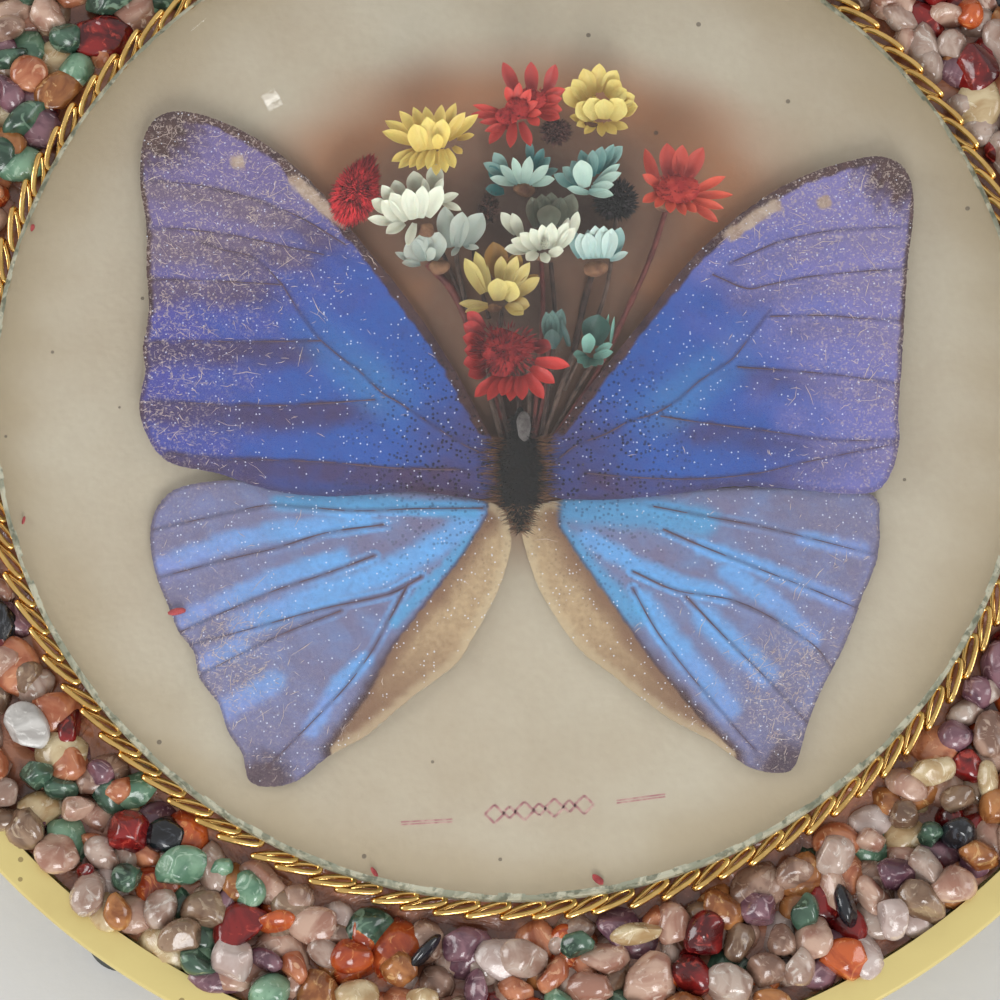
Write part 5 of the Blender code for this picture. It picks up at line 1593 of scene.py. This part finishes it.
class PlaqueColours(bpy.types.PropertyGroup):
    gold: bpy.props.FloatVectorProperty(name="Tray gold", description="Colour of the tray's sheet metal",
                                        subtype="COLOR", size=4, default=linear((226, 208, 140)))
    chain: bpy.props.FloatVectorProperty(name="Chain gold", description="Colour of the chain's wire",
                                         subtype="COLOR", size=4, default=linear((236, 196, 122)))
    azure: bpy.props.FloatVectorProperty(name="Azure", description="Wing blue near the body",
                                         subtype="COLOR", size=4, default=linear((49, 86, 161)))
    violet: bpy.props.FloatVectorProperty(name="Violet", description="Wing blue near the outer edge",
                                          subtype="COLOR", size=4, default=linear((78, 72, 152)))
    # Painted shade: the forewings' blue drawn dull mauve in bands between the blue ones.
    shaded_mauve: bpy.props.FloatVectorProperty(name="Mauve", description="Dull band between the blue ones",
                                         subtype="COLOR", size=4, default=linear((70, 54, 84)))


class PlaqueOperator:
    """What the plaque's operators share: their settings, and an error when a step fails."""
    bl_options = {"REGISTER", "UNDO"}

    def execute(self, context):
        self.build(context.scene.plaque_sizes, context.scene.plaque_colours)
        return {"FINISHED"}


class PLAQUE_OT_stage(PlaqueOperator, bpy.types.Operator):
    """Add the pale floor, the soft lights and the camera"""
    bl_idname = "plaque.stage"
    bl_label = "Floor, Lights and Camera"

    def build(self, sizes, colours):
        build_stage()


class PLAQUE_OT_tray(PlaqueOperator, bpy.types.Operator):
    """Add the gold tray and its four feet"""
    bl_idname = "plaque.tray"
    bl_label = "Tray and Feet"

    def build(self, sizes, colours):
        build_tray(sizes, colours)
        build_feet()


class PLAQUE_OT_stones(PlaqueOperator, bpy.types.Operator):
    """Add the resin, the small chips and the larger polished stones"""
    bl_idname = "plaque.stones"
    bl_label = "Resin and Stones"

    def build(self, sizes, colours):
        build_resin()
        build_chips(sizes)
        build_solid_stones()


class PLAQUE_OT_card(PlaqueOperator, bpy.types.Operator):
    """Add the aged card, its print and the crumbs on it"""
    bl_idname = "plaque.card"
    bl_label = "Card and Print"

    def build(self, sizes, colours):
        build_board()
        build_print()
        build_crumbs()


class PLAQUE_OT_glass(PlaqueOperator, bpy.types.Operator):
    """Add the convex glass with its ground edge"""
    bl_idname = "plaque.glass"
    bl_label = "Convex Glass"

    def build(self, sizes, colours):
        build_glass()


class PLAQUE_OT_chain(PlaqueOperator, bpy.types.Operator):
    """Add the curb chain round the glass"""
    bl_idname = "plaque.chain"
    bl_label = "Curb Chain"

    def build(self, sizes, colours):
        build_chain(sizes, colours)


class PLAQUE_OT_butterfly(PlaqueOperator, bpy.types.Operator):
    """Add the four wings and the hairy body"""
    bl_idname = "plaque.butterfly"
    bl_label = "Butterfly"

    def build(self, sizes, colours):
        build_wings(sizes, colours)
        build_body(sizes)


class PLAQUE_OT_flowers(PlaqueOperator, bpy.types.Operator):
    """Add the dried flower heads and their stems"""
    bl_idname = "plaque.flowers"
    bl_label = "Dried Flowers"

    def build(self, sizes, colours):
        build_flowers()
        build_stems()


OPERATORS = (PLAQUE_OT_stage, PLAQUE_OT_tray, PLAQUE_OT_stones, PLAQUE_OT_card, PLAQUE_OT_glass,
             PLAQUE_OT_chain, PLAQUE_OT_butterfly, PLAQUE_OT_flowers)


class PLAQUE_PT_panel(bpy.types.Panel):
    """Lists the plaque's operators"""
    bl_idname = "PLAQUE_PT_panel"
    bl_label = "Butterfly Plaque"
    bl_space_type = "VIEW_3D"
    bl_region_type = "UI"
    bl_category = "Plaque"

    def draw(self, context):
        for operator in OPERATORS:
            self.layout.operator(operator.bl_idname)


CLASSES = (PlaqueSizes, PlaqueColours, *OPERATORS, PLAQUE_PT_panel)


def register():
    for each in CLASSES:
        bpy.utils.register_class(each)
    bpy.types.Scene.plaque_sizes = bpy.props.PointerProperty(type=PlaqueSizes)
    bpy.types.Scene.plaque_colours = bpy.props.PointerProperty(type=PlaqueColours)


def unregister():
    del bpy.types.Scene.plaque_colours
    del bpy.types.Scene.plaque_sizes
    for each in reversed(CLASSES):
        bpy.utils.unregister_class(each)


def main():
    register()
    for operator in OPERATORS:
        step = operator.bl_idname.split(".")[1]
        if getattr(bpy.ops.plaque, step)() != {"FINISHED"}:
            raise RuntimeError("the step %s did not finish" % step)
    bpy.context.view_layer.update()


if __name__ == "__main__":
    main()
